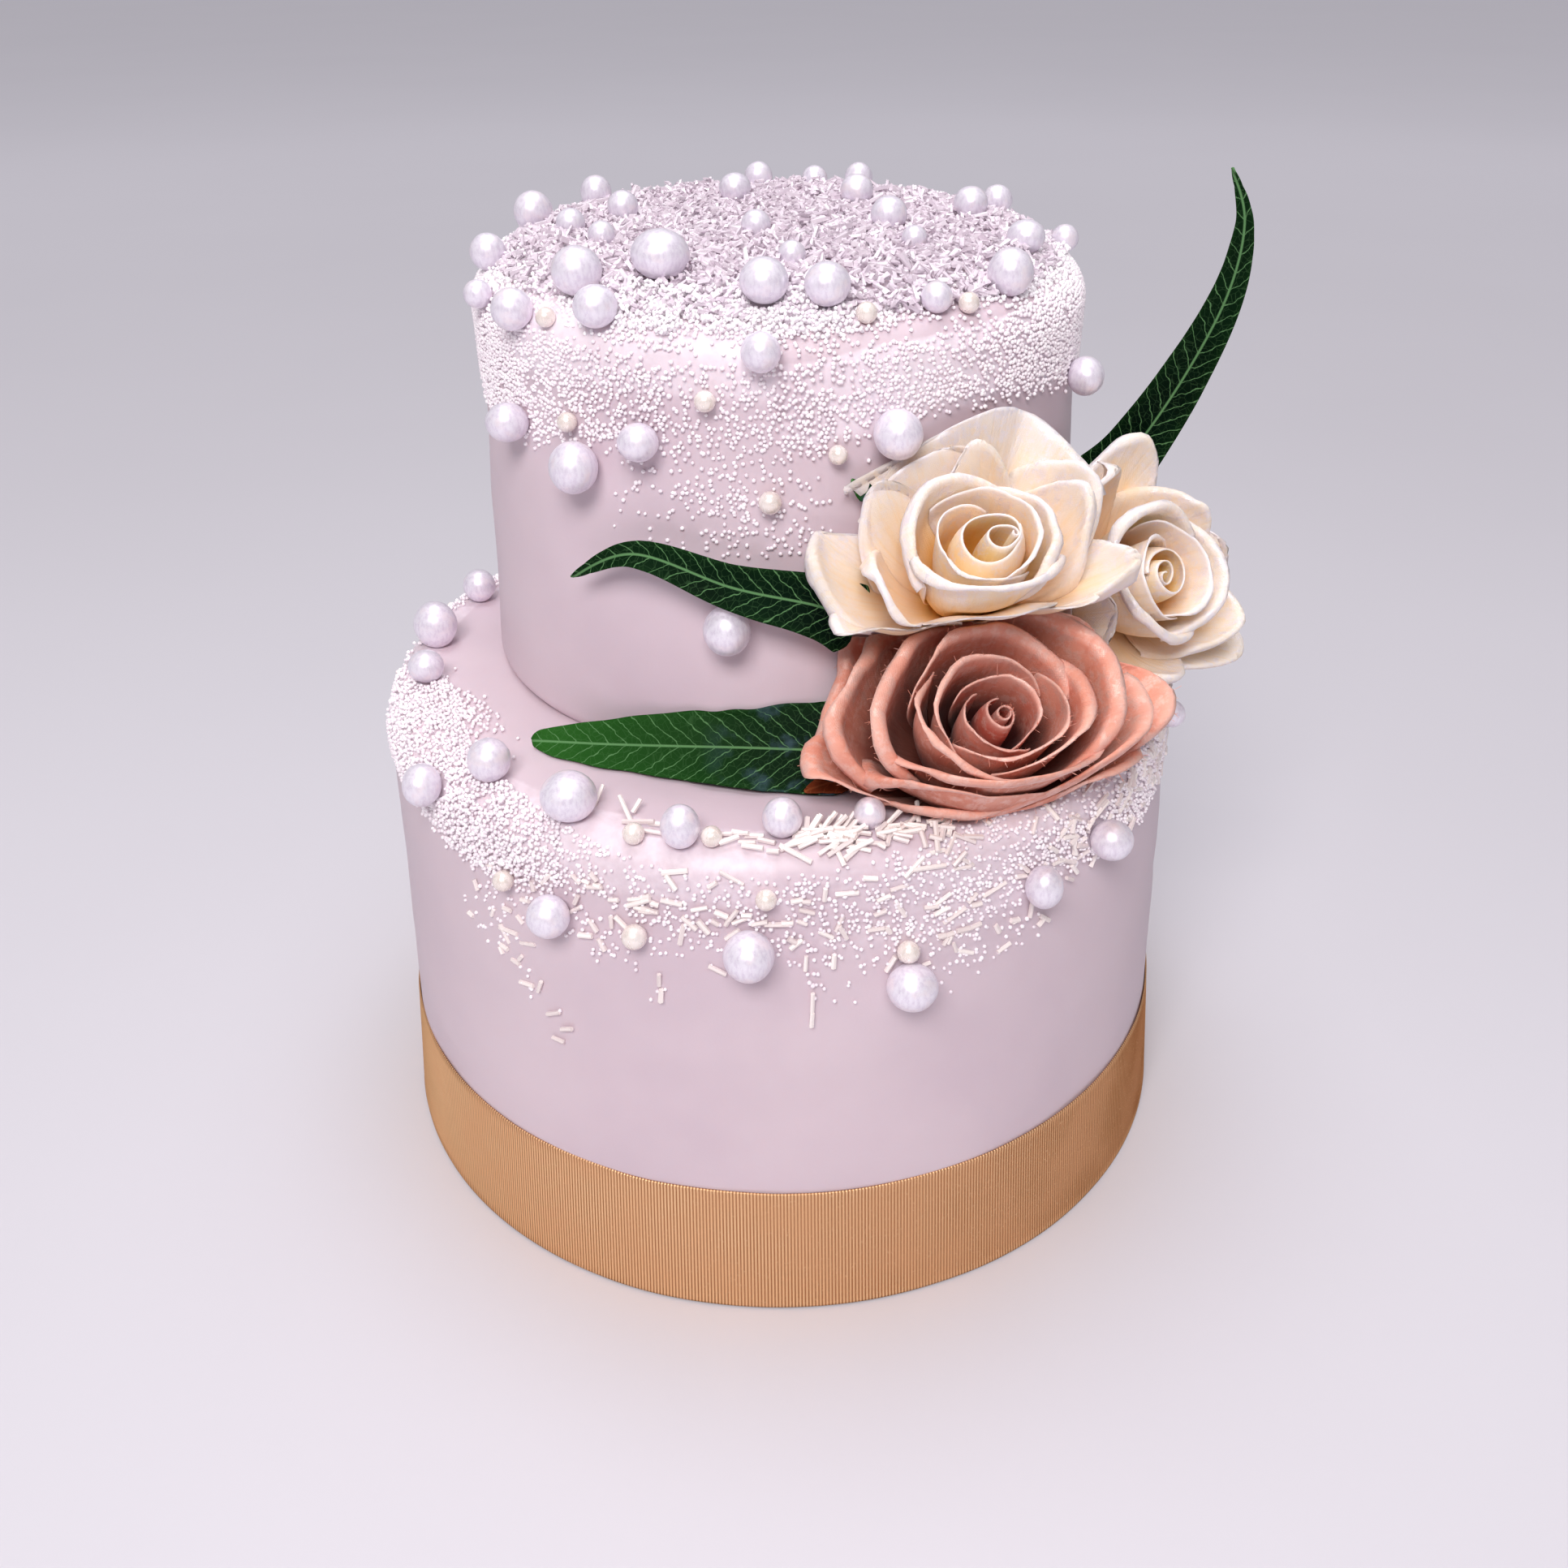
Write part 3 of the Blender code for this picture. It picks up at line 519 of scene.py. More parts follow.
# %% Large pearls
def pearls(name, centres, diameters, stretches, material, rows=20, columns=32, dent=0.03, seed=1):
    """Each pearl: centre + (d / 2) * stretch * (1 + dent * waves) * ball, where the ball is
    (sin a cos b, sin a sin b, cos a)."""
    draw = np.random.default_rng(seed)
    count = len(centres)
    a = np.linspace(0, np.pi, rows)[None, :, None]
    b = np.linspace(0, 2 * np.pi, columns, endpoint=False)[None, None, :]
    ball = np.stack([np.sin(a) * np.cos(b), np.sin(a) * np.sin(b), np.cos(a) + 0 * b], axis=-1)
    phase = draw.uniform(0, 2 * np.pi, (3, count, 1, 1))
    waves = (np.sin(2.1 * ball[..., 0] + 1.7 * ball[..., 1] + phase[0])
             + np.sin(2.7 * ball[..., 1] - 2.0 * ball[..., 2] + phase[1])
             + 0.5 * np.sin(6.0 * ball[..., 2] + 4.0 * ball[..., 0] + phase[2])) / 2.5
    ball = ball * (1 + dent * waves)[..., None]
    points = centres[:, None, None, :] + ball * (stretches * diameters[:, None] / 2)[:, None, None, :]
    faces = grid_faces(rows, columns, wrap=True)
    faces = (faces[None] + (np.arange(count) * rows * columns)[:, None, None]).reshape(-1, 4)
    piece = add_piece(name, points.reshape(-1, 3), faces, material)
    close_poles(piece)
    return piece


# Some pearls are plainly longer one way than the others: their stretch along x, y and z.
ODD_PEARLS = {"pearl_lower_12": (0.94, 0.94, 1.12), "pearl_lower_07": (0.94, 0.95, 1.10),
              "pearl_lower_06": (1.09, 1.04, 0.98), "pearl_lower_04": (0.92, 1.0, 1.05),
              "pearl_upper_08": (1.12, 1.05, 0.94), "pearl_upper_25": (0.98, 0.96, 1.0),
              "pearl_upper_09": (0.98, 1.0, 0.93), "pearl_upper_26": (0.97, 0.97, 1.03)}


def pearl_places(prefix, tier, seed):
    """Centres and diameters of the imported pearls, sunk 0.4 mm towards the skin that they lie on."""
    names = sorted(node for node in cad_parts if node.startswith(prefix))
    corners = np.array([[list(corner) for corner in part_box(node)] for node in names])
    centre, size = corners.mean(axis=1), (corners[:, 1] - corners[:, 0]).max(axis=1)
    flat = centre - tier.centre
    out = np.hypot(flat[:, 0], flat[:, 1])
    run = np.array([tier.nearest(o, z) for o, z in zip(out, flat[:, 2])])
    skin, normal = tier.skin(np.arctan2(flat[:, 0], -flat[:, 1]), run)
    draw = np.random.default_rng(seed)
    stretch = draw.uniform(0.93, 1.05, (len(names), 3))
    stretch[:, 2] *= draw.uniform(0.94, 1.06, len(names))
    for name, shape in ODD_PEARLS.items():
        if name in names:
            stretch[names.index(name)] = shape
    return names, skin + normal * (size * 0.47)[:, None], size, stretch


pearl_centres, pearl_sizes = {}, {}
for prefix, tier, seed in (("pearl_upper", upper, 21), ("pearl_lower", lower, 22)):
    names, centres, sizes, stretches = pearl_places(prefix, tier, seed)
    piece = pearls(prefix + "_set", centres, sizes, stretches, pearl_lustre, seed=seed)
    fix(piece, "pearl_sugar", *names)
    pearl_centres[prefix], pearl_sizes[prefix] = centres, sizes

# %% [markdown]
# ## Small pearls
#
# Between the large pearls lie bought sugar beads of 4 to 7 mm. The smaller ones have an ivory
# gold lustre and are truly round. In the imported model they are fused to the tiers, so their
# places are repeated here as bearing, distance from the axis, height and diameter.

# %% Small pearls
UPPER_BEADS = np.array([
    (-84, 50, 109, 7.0), (-66, 45, 109, 6.4), (-66, 76, 99, 6.6), (4, 41, 109, 6.2), (-26, 12, 110, 7.0),
    (170, 60, 109, 7.1), (51, 40, 109, 6.0), (29, 68, 104, 6.8), (94, 72, 103, 6.8),
    (-43, 74, 99, 4.4), (15, 69, 102, 4.6), (35, 70, 102, 4.6), (-12, 76, 86, 4.6), (-38, 76, 77, 4.4),
    (9, 75, 74, 4.2), (-2, 76, 64, 5.0), (146, 76, 90, 5.0), (-140, 76, 84, 4.8)])
LOWER_BEADS = np.array([
    (70, 103, 122, 6.8), (12, 90, 128, 7.0), (-19, 97, 126, 4.8), (-9, 95, 126, 4.6),
    (-37, 104, 108, 4.8), (-18, 104, 104, 5.6), (-2, 103, 116, 4.6), (15, 103, 100, 5.0),
    (98, 102, 118, 5.0), (-172, 103, 112, 5.0)])


def bead_places(tier, rows):
    """The centre of each bead: skin + normal * 0.44 d, at the run nearest to the place given."""
    run = np.array([tier.nearest(out * MM, up * MM) for out, up in rows[:, 1:3]])
    skin, normal = tier.skin(np.radians(rows[:, 0]), run)
    return skin + normal * (rows[:, 3] * 0.44 * MM)[:, None], rows[:, 3] * MM


gold_lustre = lustre_material(
    "gold_lustre", srgb(232, 216, 208), srgb(248, 237, 230), srgb(250, 240, 237), 0.25, 0.26, 700.0)
SILVER_FROM = 5.8 * MM   # Beads from this size on are silver, and smaller ones are ivory.
bead_centres, bead_sizes = [], []
for label, tier, rows in (("upper", upper, UPPER_BEADS), ("lower", lower, LOWER_BEADS)):
    centres, sizes = bead_places(tier, rows)
    large = sizes > SILVER_FROM
    for kind, chosen, material in (("silver", large, pearl_lustre), ("ivory", ~large, gold_lustre)):
        round_shape = np.ones((chosen.sum(), 3))
        piece = pearls(f"beads_{kind}_{label}", centres[chosen], sizes[chosen], round_shape, material,
                       rows=14, columns=20, dent=0.012, seed=31)
        fix(piece, "pearl_sugar")
    bead_centres.append(centres)
    bead_sizes.append(sizes)

# %% [markdown]
# ## Drifts of sugar balls
#
# Nonpareils are sugar balls about 1 mm across. They were pressed onto the damp icing by
# the handful, so they lie packed along the rims and thin out in ragged trails below. A table
# gives the drift's upper and lower edge and its fullness at some bearings. A packed lattice of
# places is jittered, and a place keeps its ball if a random draw falls below the fullness there,
# which noise breaks into clumps. Each ball is an icosahedron of 20 faces, shaded smooth.

# %% Sugar balls: shape and finish
def icosahedron():
    """Twelve points (0, +-1, +-g) and their turns, and the twenty faces that join them."""
    work = bmesh.new()
    bmesh.ops.create_icosphere(work, subdivisions=1, radius=1.0)
    points = np.array([list(v.co) for v in work.verts])
    faces = np.array([[v.index for v in f.verts] for f in work.faces])
    work.free()
    return points, faces


BALL_POINTS, BALL_FACES = icosahedron()


def scatter(name, centres, sizes, material, seed):
    """One mesh with a ball at each centre: centre + size / 2 * stretch * icosahedron."""
    draw = np.random.default_rng(seed)
    turn = draw.uniform(0, 2 * np.pi, (len(centres), 1))
    x, y, z = BALL_POINTS.T
    ball = np.stack([x * np.cos(turn) - y * np.sin(turn), x * np.sin(turn) + y * np.cos(turn),
                     z + 0 * turn], axis=-1)
    ball = ball * draw.uniform(0.9, 1.1, (len(centres), 1, 3)) * sizes[:, None, None] / 2
    points = centres[:, None, :] + ball
    corners = len(BALL_POINTS)
    faces = (BALL_FACES[None] + (np.arange(len(centres)) * corners)[:, None, None]).reshape(-1, 3)
    shade = np.repeat(draw.random(len(centres)), corners)
    return add_piece(name, points.reshape(-1, 3), faces, material, {"shade": shade})


def sugar_finish(name, dark, light, glow=0.0):
    """White sugar: each grain's own tint, by its shade, and a fine crystal grain in the bump.
    Light passes through such small grains, for which a faint glow of their own stands."""
    material, tree, shader, place = new_material(
        name, Coat_Weight=0.1, Coat_Roughness=0.3, Emission_Strength=glow,
        Emission_Color=(1.0, 0.93, 0.97, 1.0))
    grain = use_group(tree, GRAIN, {"Place": place, "Coarse": 300.0, "Fine": 4000.0})
    tint = blend(tree, point_value(tree, "shade"), dark, light)
    rough = spread(tree, grain.outputs["Mottle"], 0.3, 0.7, 0.25, 0.4)
    finish(tree, shader, tint, rough, grain.outputs["Height"], 0.15, 0.1 * MM)
    return material


white_sugar = sugar_finish("white_sugar", srgb(238, 229, 236), srgb(255, 252, 254), glow=0.075)
pale_sugar = sugar_finish("pale_sugar", srgb(236, 223, 231), srgb(254, 247, 251), glow=0.065)
print("ball of", len(BALL_FACES), "faces, finishes:", white_sugar.name, pale_sugar.name)


# %% Sugar balls: where they lie
def lattice(tier, low, high, pitch, radius, seed):
    """Packed places over a band of the skin: rows every 0.87 pitch, each shifted half a pitch,
    then moved at random by about a fifth of a pitch."""
    draw = np.random.default_rng(seed)
    run = np.arange(low, high, pitch * 0.87)
    step = np.arange(int(2 * np.pi * radius / pitch))
    s, k = np.meshgrid(run, step, indexing="ij")
    b = (k + 0.5 * (np.arange(len(run)) % 2)[:, None]) * pitch / radius - np.pi
    s = s + draw.normal(0, pitch * 0.22, s.shape)
    b = b + draw.normal(0, pitch * 0.22, s.shape) / radius
    return b.ravel(), s.ravel(), draw


def keep_clear(points, radius, centres, sizes):
    """True where a point is further than radius from every large ball."""
    clear = np.ones(len(points), bool)
    for centre, size in zip(centres, sizes):
        clear &= np.linalg.norm(points - centre, axis=1) > size / 2 + radius
    return clear


def band(table, bearing, run):
    """The fullness of a drift: rows of (bearing, lower edge, upper edge, fullness) in degrees
    and mm, with soft edges 5 mm wide at the bottom and 1.5 mm at the top."""
    degrees = np.degrees(bearing)
    low = np.interp(degrees, table[:, 0], table[:, 1])
    high = np.interp(degrees, table[:, 0], table[:, 2])
    full = np.interp(degrees, table[:, 0], table[:, 3])
    rise = np.clip((run / MM - low) / 5.0 + 0.5, 0, 1)
    fall = np.clip((high - run / MM) / 1.5 + 0.5, 0, 1)
    return full * rise * fall


def patch(bearing, run, where, level, wide, high, full):
    """A soft patch: full * exp(-((b - where) / wide)**2 - ((s - level) / high)**2)."""
    return full * np.exp(-((np.degrees(bearing) - where) / wide) ** 2 - ((run / MM - level) / high) ** 2)


def with_patches(full, bearing, run, patches):
    """The most of a fullness and of soft patches: (bearing, run, width, height, fullness)."""
    return np.max([full] + [patch(bearing, run, *row) for row in patches], axis=0)


BALL = 1.02 * MM
UPPER_DRIFT = np.array([
    (-180, 86, 104, 0.75), (-150, 80, 104, 0.6), (-115, 84, 104, 0.8), (-80, 76, 104, 0.8),
    (-65, 70, 101, 0.75), (-50, 69, 97, 0.8), (-38, 74, 96, 0.78), (-27, 74, 95, 0.66),
    (-15, 73, 94, 0.5), (-5, 73, 94, 0.5), (5, 75, 95, 0.7), (14, 78, 97, 0.86), (25, 82, 98, 0.86),
    (40, 82, 99, 0.88), (60, 78, 101, 0.88), (80, 74, 103, 0.8), (110, 82, 104, 0.7),
    (140, 78, 104, 0.8), (180, 86, 104, 0.75)])
UPPER_RIM = np.array([
    (-180, 101, 114, 0.9), (-60, 100, 114, 0.75), (-45, 101, 114, 0.8), (-32, 98, 114, 0.95),
    (0, 97.5, 114, 1.0), (14, 98.5, 112, 0.9), (22, 101, 112, 0.45), (38, 101, 113, 0.45),
    (50, 100, 114, 0.8), (90, 100, 114, 0.9), (180, 101, 114, 0.9)])
UPPER_PATCHES = [(-8, 64, 12, 10, 0.5), (-22, 66, 6, 6, 0.25), (2, 56, 6, 4, 0.35), (-10, 53, 6, 3, 0.3)]


def upper_fullness(b, s):
    return with_patches(band(UPPER_DRIFT, b, s), b, s, UPPER_PATCHES)


LAYER_STEP = 0.85 * MM


def drift(name, tier, fullness, low, high, seed, layers, balls, sizes, material):
    """Keeps a place where draw < fullness * (0.45 + 1.1 * noise). Further layers, a step up each,
    keep one where draw < (fullness - 0.7) * 3.4 * noise, so they heap only where it is full."""
    radius = 75 * MM if tier is upper else 102 * MM
    found = []
    noise, finer = Noise(seed + 50), Noise(seed + 51)
    for layer in range(layers):
        b, s, draw = lattice(tier, low, high, BALL * 1.04, radius, seed + layer)
        full = fullness(b, s)
        along = b * radius
        wave = 0.6 * noise(along / (7 * MM), s / (5 * MM))
        wave = wave + 0.4 * finer(along / (2.6 * MM), s / (2.6 * MM))
        share = (full - 0.70) * 3.4 * wave if layer else full * (0.45 + 1.1 * wave)
        kept = draw.random(len(b)) < share
        point, normal = tier.skin(b[kept], s[kept])
        found.append(point + normal * (0.42 * BALL + layer * LAYER_STEP))
    centres = np.concatenate(found)
    centres = centres[keep_clear(centres, 0.5 * MM, balls, sizes)]
    size = np.random.default_rng(seed + 9).normal(BALL, 0.09 * MM, len(centres))
    piece = scatter(name, centres, size, material, seed)
    fix(piece, "icing")


upper_balls = np.concatenate([pearl_centres["pearl_upper"], bead_centres[0]])
upper_sizes = np.concatenate([pearl_sizes["pearl_upper"], bead_sizes[0]])
drift("sugar_balls_upper_side", upper, upper_fullness, 48 * MM, 102 * MM, 101, 1,
      upper_balls, upper_sizes, pale_sugar)
drift("sugar_balls_upper_rim", upper, lambda b, s: band(UPPER_RIM, b, s), 95 * MM, 116 * MM, 111, 3,
      upper_balls, upper_sizes, white_sugar)

# %% Sugar balls on the lower tier
LOWER_DRIFT = np.array([
    (-180, 112, 134, 0.5), (-140, 104, 136, 0.6), (-115, 108, 132, 0.5), (-102, 112, 128, 0.1),
    (-90, 114, 129, 0.15), (-80, 113, 136, 0.7), (-72, 112, 139, 1.0), (-60, 112, 136, 1.0),
    (-48, 108, 132, 1.0), (-38, 106, 129, 0.95), (-30, 108, 126, 0.8), (-24, 112, 124, 0.5),
    (-18, 106, 122, 0.36), (-8, 102, 120, 0.32), (4, 100, 121, 0.36), (16, 100, 124, 0.42),
    (28, 102, 127, 0.5), (40, 106, 130, 0.6), (60, 104, 131, 0.65), (80, 112, 132, 0.6),
    (110, 104, 134, 0.7), (150, 112, 132, 0.45), (180, 112, 134, 0.5)])
LOWER_PATCHES = [
    (-40, 96, 4, 8, 0.25), (-30, 104, 8, 5, 0.3), (-18, 104, 6, 5, 0.3), (-4, 106, 7, 6, 0.35),
    (10, 104, 9, 8, 0.4), (22, 100, 5, 8, 0.35), (24, 95, 7, 4, 0.35), (-22, 98, 5, 3, 0.2),
    (-35, 80, 3, 4, 0.12), (-16, 90, 1.0, 3, 0.2), (5, 92, 2.5, 3, 0.2), (-66, 132, 9, 9, 1.0),
    (130, 96, 9, 9, 0.3), (-125, 96, 8, 9, 0.3)]


def lower_fullness(b, s):
    return with_patches(band(LOWER_DRIFT, b, s), b, s, LOWER_PATCHES)


lower_balls = np.concatenate([pearl_centres["pearl_lower"], bead_centres[1]])
lower_sizes = np.concatenate([pearl_sizes["pearl_lower"], bead_sizes[1]])
drift("sugar_balls_lower_side", lower, lower_fullness, 76 * MM, 121 * MM, 121, 2,
      lower_balls, lower_sizes, pale_sugar)
drift("sugar_balls_lower_ledge", lower, lower_fullness, 121.5 * MM, 145 * MM, 124, 2,
      lower_balls, lower_sizes, pale_sugar)


# %% Build the iced tiers
def upper_dust_and_painted_light(b, s):
    """Where the icing is whitened, sugar dust and painted light: the side's drift, the rim's, and the
    whole top.
    """
    rim, top = band(UPPER_RIM, b, s - 4 * MM), np.clip((s / MM - 108) / 8, 0, 1)
    return np.maximum(np.maximum(0.9 * upper_fullness(b, s), rim), top)


tier = iced_tier("icing_lower", lower, 3, 0.9 * MM, lower_fullness)
fix(tier, "icing", "lower_tier")
tier = iced_tier("icing_upper", upper, 5, 0.8 * MM, upper_dust_and_painted_light)
fix(tier, "icing", "upper_tier")

# %% [markdown]
# ## Sugar rods and flakes
#
# The rods are short extruded strands, 4 to 8 mm long, and the flakes on the top are the same
# strands chopped fine, heaped so thickly that no icing shows. A rod is a six-sided bar along the
# icing, and a flake is a bar whose eight corners are all moved a little, so that no two look
# alike. Both kinds are made as whole arrays.

# %% Rods and flakes
strand = sugar_finish("strand_sugar", srgb(228, 213, 212), srgb(252, 242, 238))
chopped = sugar_finish("chopped_sugar", srgb(214, 199, 211), srgb(236, 225, 233))


def bars(name, centres, along, normal, lengths, widths, sides, jitter, material, seed, slot="icing"):
    """Each bar: centre + along * (+-length / 2) + ring of radius width / 2 across it, with each
    corner moved by up to jitter * width. Its caps are fans from one corner."""
    draw = np.random.default_rng(seed)
    count = len(centres)
    along = unit(along)
    across = unit(np.cross(along, normal))
    third = np.cross(along, across)
    a = np.linspace(0, 2 * np.pi, sides, endpoint=False) + np.pi / sides
    ring = (np.cos(a)[None, :, None] * across[:, None, :] + np.sin(a)[None, :, None] * third[:, None, :])
    ring = ring * widths[:, None, None] / 2
    ends = along * lengths[:, None] / 2
    points = np.concatenate([(centres - ends)[:, None] + ring, (centres + ends)[:, None] + ring], axis=1)
    points = points + draw.uniform(-1, 1, points.shape) * (jitter * widths)[:, None, None]
    i = np.arange(sides)
    k = (i + 1) % sides
    wall = np.concatenate([np.stack([i, k, i + sides], 1), np.stack([k, k + sides, i + sides], 1)])
    fan = np.arange(1, sides - 1)
    caps = [np.stack([0 * fan, fan + 1, fan], 1), np.stack([0 * fan, fan, fan + 1], 1) + sides]
    faces = np.concatenate([wall, *caps])
    faces = (faces[None] + (np.arange(count) * 2 * sides)[:, None, None]).reshape(-1, 3)
    shade = np.repeat(draw.random(count), 2 * sides)
    piece = add_piece(name, points.reshape(-1, 3), faces, material, {"shade": shade}, smooth=False)
    fix(piece, slot)


def tangents(normal, turn):
    """Directions along the skin: level * cos t + (normal x level) * sin t."""
    flat = unit(np.cross(np.array([0.0, 0.0, 1.0]) + 0 * normal, normal) + 1e-6)
    return flat * np.cos(turn)[:, None] + np.cross(normal, flat) * np.sin(turn)[:, None]


draw = np.random.default_rng(41)
# Bearing and its spread, run and its spread, how many, how far they turn from level, mean length.
ROD_PATCHES = [
    (7, 7, 129.5, 1.9, 84, 0.4, 5.0), (-8, 5, 128.5, 1.3, 14, 0.15, 6.4), (17, 5, 127, 3.0, 26, 0.6, 5.0),
    (-24, 4, 131, 3.5, 4, 0.8, 5.0), (-14, 7, 113, 4, 20, 0.45, 3.6), (-20, 8, 105, 4, 11, 0.8, 3.4),
    (-2, 6, 110, 5, 11, 0.9, 2.8), (11, 6, 112, 6, 17, 0.7, 3.6), (14, 9, 103, 5, 13, 0.9, 2.8),
    (26, 8, 104, 7, 18, 0.7, 3.6), (38, 7, 112, 7, 20, 0.8, 3.8), (58, 12, 118, 7, 90, 0.9, 4.0),
    (-40, 5, 96, 6, 12, 0.9, 3.2), (-30, 5, 106, 5, 9, 0.8, 3.4), (-34, 3, 79, 5, 3, 0.5, 3.4),
    (110, 14, 116, 8, 70, 0.9, 4.2), (165, 16, 112, 7, 60, 0.8, 4.2), (-130, 14, 108, 8, 50, 0.8, 4.0)]
rows = np.concatenate([np.stack([
    draw.normal(where, wide, count), draw.normal(level, high, count), draw.normal(0, turn, count),
    draw.gamma(9.0, mean / 9.0, count)], axis=1)
    for where, wide, level, high, count, turn, mean in ROD_PATCHES])
# Single strands that hang straight down in the picture: bearing, run, turn, length.
rows = np.concatenate([rows, [
    (2.6, 99.5, 1.5, 3.6), (6.0, 99.5, 1.5, 3.4), (3.4, 89.0, 1.55, 5.2), (3.3, 84.5, 1.5, 3.6),
    (-15.5, 93, 1.5, 3.4), (-15.3, 89, 1.5, 3.2), (-33, 82, 1.2, 3.6), (-31, 76, 0.5, 4.4),
    (-29, 73, 0.4, 3.4), (33, 101, 1.5, 4.6)]])
bearing, run, turn = np.radians(rows[:, 0]), rows[:, 1] * MM, rows[:, 2]
point, normal = lower.skin(bearing, run)
stack = draw.uniform(0.4, 1.0, len(rows)) + 1.6 * (rows[:, 1] > 124) * draw.random(len(rows))
point = point + normal * (stack * 0.8 * MM)[:, None]
lean = draw.normal(0, 0.06, len(rows)) + 0.12 * (stack > 1.4)
tilt = tangents(normal, turn) + normal * lean[:, None]
clear = keep_clear(point, 0.9 * MM, lower_balls, lower_sizes)
lengths = np.clip(rows[:, 3], 1.8, 9.5) * MM
widths = draw.uniform(0.95, 1.32, len(rows)) * MM
bars("sugar_rods", point[clear], tilt[clear], normal[clear], lengths[clear], widths[clear],
     6, 0.04, strand, 42)

# The flakes' places are a sunflower's seeds: bearing i * golden, out R * sqrt((i + 0.5) / count).
FLAKES, FLAKES_REACH = 9000, 69 * MM
golden = np.pi * (3 - np.sqrt(5))
index = np.arange(FLAKES)
out = FLAKES_REACH * np.sqrt((index + 0.5) / FLAKES)
bearing = index * golden + draw.normal(0, 0.02, FLAKES)
run = upper.length - out
point, normal = upper.skin(bearing, run)
mound = Noise(77)
rise = 1.2 * MM * mound(point[:, 0] / (6 * MM) + 30, point[:, 1] / (6 * MM) + 30)
point = point + normal * (draw.uniform(0.1, 1.6, FLAKES) * MM + rise)[:, None]
point = point + draw.normal(0, 0.5 * MM, point.shape)
tilt = tangents(normal, draw.uniform(0, 2 * np.pi, FLAKES))
tilt = tilt + normal * draw.normal(0, 0.45, FLAKES)[:, None]
clear = keep_clear(point, 0.3 * MM, upper_balls, upper_sizes)
lengths = np.clip(draw.gamma(5.0, 0.42, FLAKES), 1.1, 4.6) * MM
widths = draw.uniform(0.7, 1.35, FLAKES) * MM
bars("sugar_flakes", point[clear], tilt[clear], normal[clear], lengths[clear], widths[clear],
     4, 0.22, chopped, 43)

# %% [markdown]
# ## Ribbon
#
# The ribbon is grosgrain: a stiff woven band with ribs across it 0.8 mm apart and a flat
# edge of a few threads at the top and bottom. It is pulled tight round the foot of the cake and
# its end is lapped over at the back. The ribs are real relief in the mesh, and the material adds
# the threads, with painted shade in the grooves and a painted highlight on the crests.

# %% Ribbon finish
ribbon_cloth, tree, shader, place = new_material(
    "gold_grosgrain", Metallic=0.85, Specular_Tint=(0.35, 0.22, 0.12, 1.0))
uv = put(tree, "ShaderNodeUVMap", uv_map="UVMap").outputs[0]
where = put(tree, "ShaderNodeSeparateXYZ", {0: uv})
rib = sums(tree, "SINE", times(tree, where.outputs[0], 2 * np.pi))
threads = use_group(tree, WEAVE, {"Place": uv, "Threads": 6.0})
mottle, fleck = cloudy(tree, place, 60.0, 4.0), cloudy(tree, place, 1800.0, 2.0)
# Painted shade and highlight: darker colour in the grooves between the ribs and lighter colour on their
# crests.
tint = blend(tree, spread(tree, rib, -0.9, 0.7), srgb(180, 124, 84), srgb(255, 212, 164))
tint = blend(tree, spread(tree, mottle, 0.35, 0.7, 0.0, 0.35), tint, srgb(232, 180, 138))
tint = blend(tree, spread(tree, fleck, 0.6, 0.75, 0.0, 0.4), tint, srgb(250, 214, 172))
relief = sums(tree, "ADD", rib, threads.outputs["Height"])
finish(tree, shader, tint, spread(tree, mottle, 0.3, 0.7, 0.42, 0.58), relief, 0.4, 0.12 * MM)
print("finish:", ribbon_cloth.name)

# %% Ribbon
RIB_COUNT, RIBBON_HEIGHT, RIBBON_THICK = 820, 34.0 * MM, 0.35 * MM


def ribbon(name, first, last):
    """A band: (R(z) + relief) * side(b) at height z, where relief is 0.06 mm * cos(rib) away from
    the two flat edges, and the foot stands 1.3 mm out. The last 10 degrees are lifted, to lie
    over the start."""
    ribs = int(RIB_COUNT * (last - first) / (2 * np.pi))
    b = np.linspace(first, last, ribs * 4 + 1)[None, :]
    t = np.array([0.0, 0.015, 0.04, 0.07, 0.2, 0.4, 0.6, 0.8, 0.93, 0.96, 0.985, 1.0])[:, None]
    phase = (b - first) / (2 * np.pi) * RIB_COUNT
    body = np.clip((0.5 - abs(t - 0.5)) / 0.05 - 0.4, 0, 1)
    edge = 0.10 * MM * np.exp(-((0.5 - abs(t - 0.5) - 0.02) / 0.015) ** 2)
    wave = Noise(61)
    sway = 0.35 * MM * (wave(b * 6 + 20, t * 1.5) - 0.5)
    out = 103.0 * MM - 0.8 * MM * t + 1.3 * MM * (1 - t) + GAP + RIBBON_THICK
    out = out + 0.06 * MM * np.cos(2 * np.pi * phase) * body + edge
    out = out + sway * (0.3 + 0.7 * abs(2 * t - 1))
    out = out + 0.55 * MM * np.clip((b - last) / 0.05 + 3.6, 0, 1)
    z = 0.5 * MM + RIBBON_HEIGHT * t + 0.25 * MM * (wave(b * 9 + 5, 0 * t + 9) - 0.5) * t
    side = side_way(b + 0 * t)
    points = side * out[..., None]
    points[..., 2] = z
    uv = np.stack([phase + 0 * t, t * RIBBON_HEIGHT / MM + 0 * b], axis=-1)
    piece = add_piece(name, points.reshape(-1, 3), grid_faces(*out.shape), ribbon_cloth,
                      uv=uv.reshape(-1, 2))
    thicken(piece, RIBBON_THICK, -1.0)
    return piece


band_piece = ribbon("ribbon_band", np.radians(-190), np.radians(176))
fix(band_piece, "gold_ribbon", "ribbon")

# %% [markdown]
# ## Roses
#
# A fabric rose is cut and pressed petals glued round a rolled heart. Each petal is a function of
# two parameters: across, from edge to edge, and along, from foot to lip. Its outline in a plane
# through the rose's axis is a path whose lean grows from the foot to the lip, so the petal first
# stands up as a cup and then rolls over. The roses press on each other and on the cake, and soft
# fences between them do the same to the points.

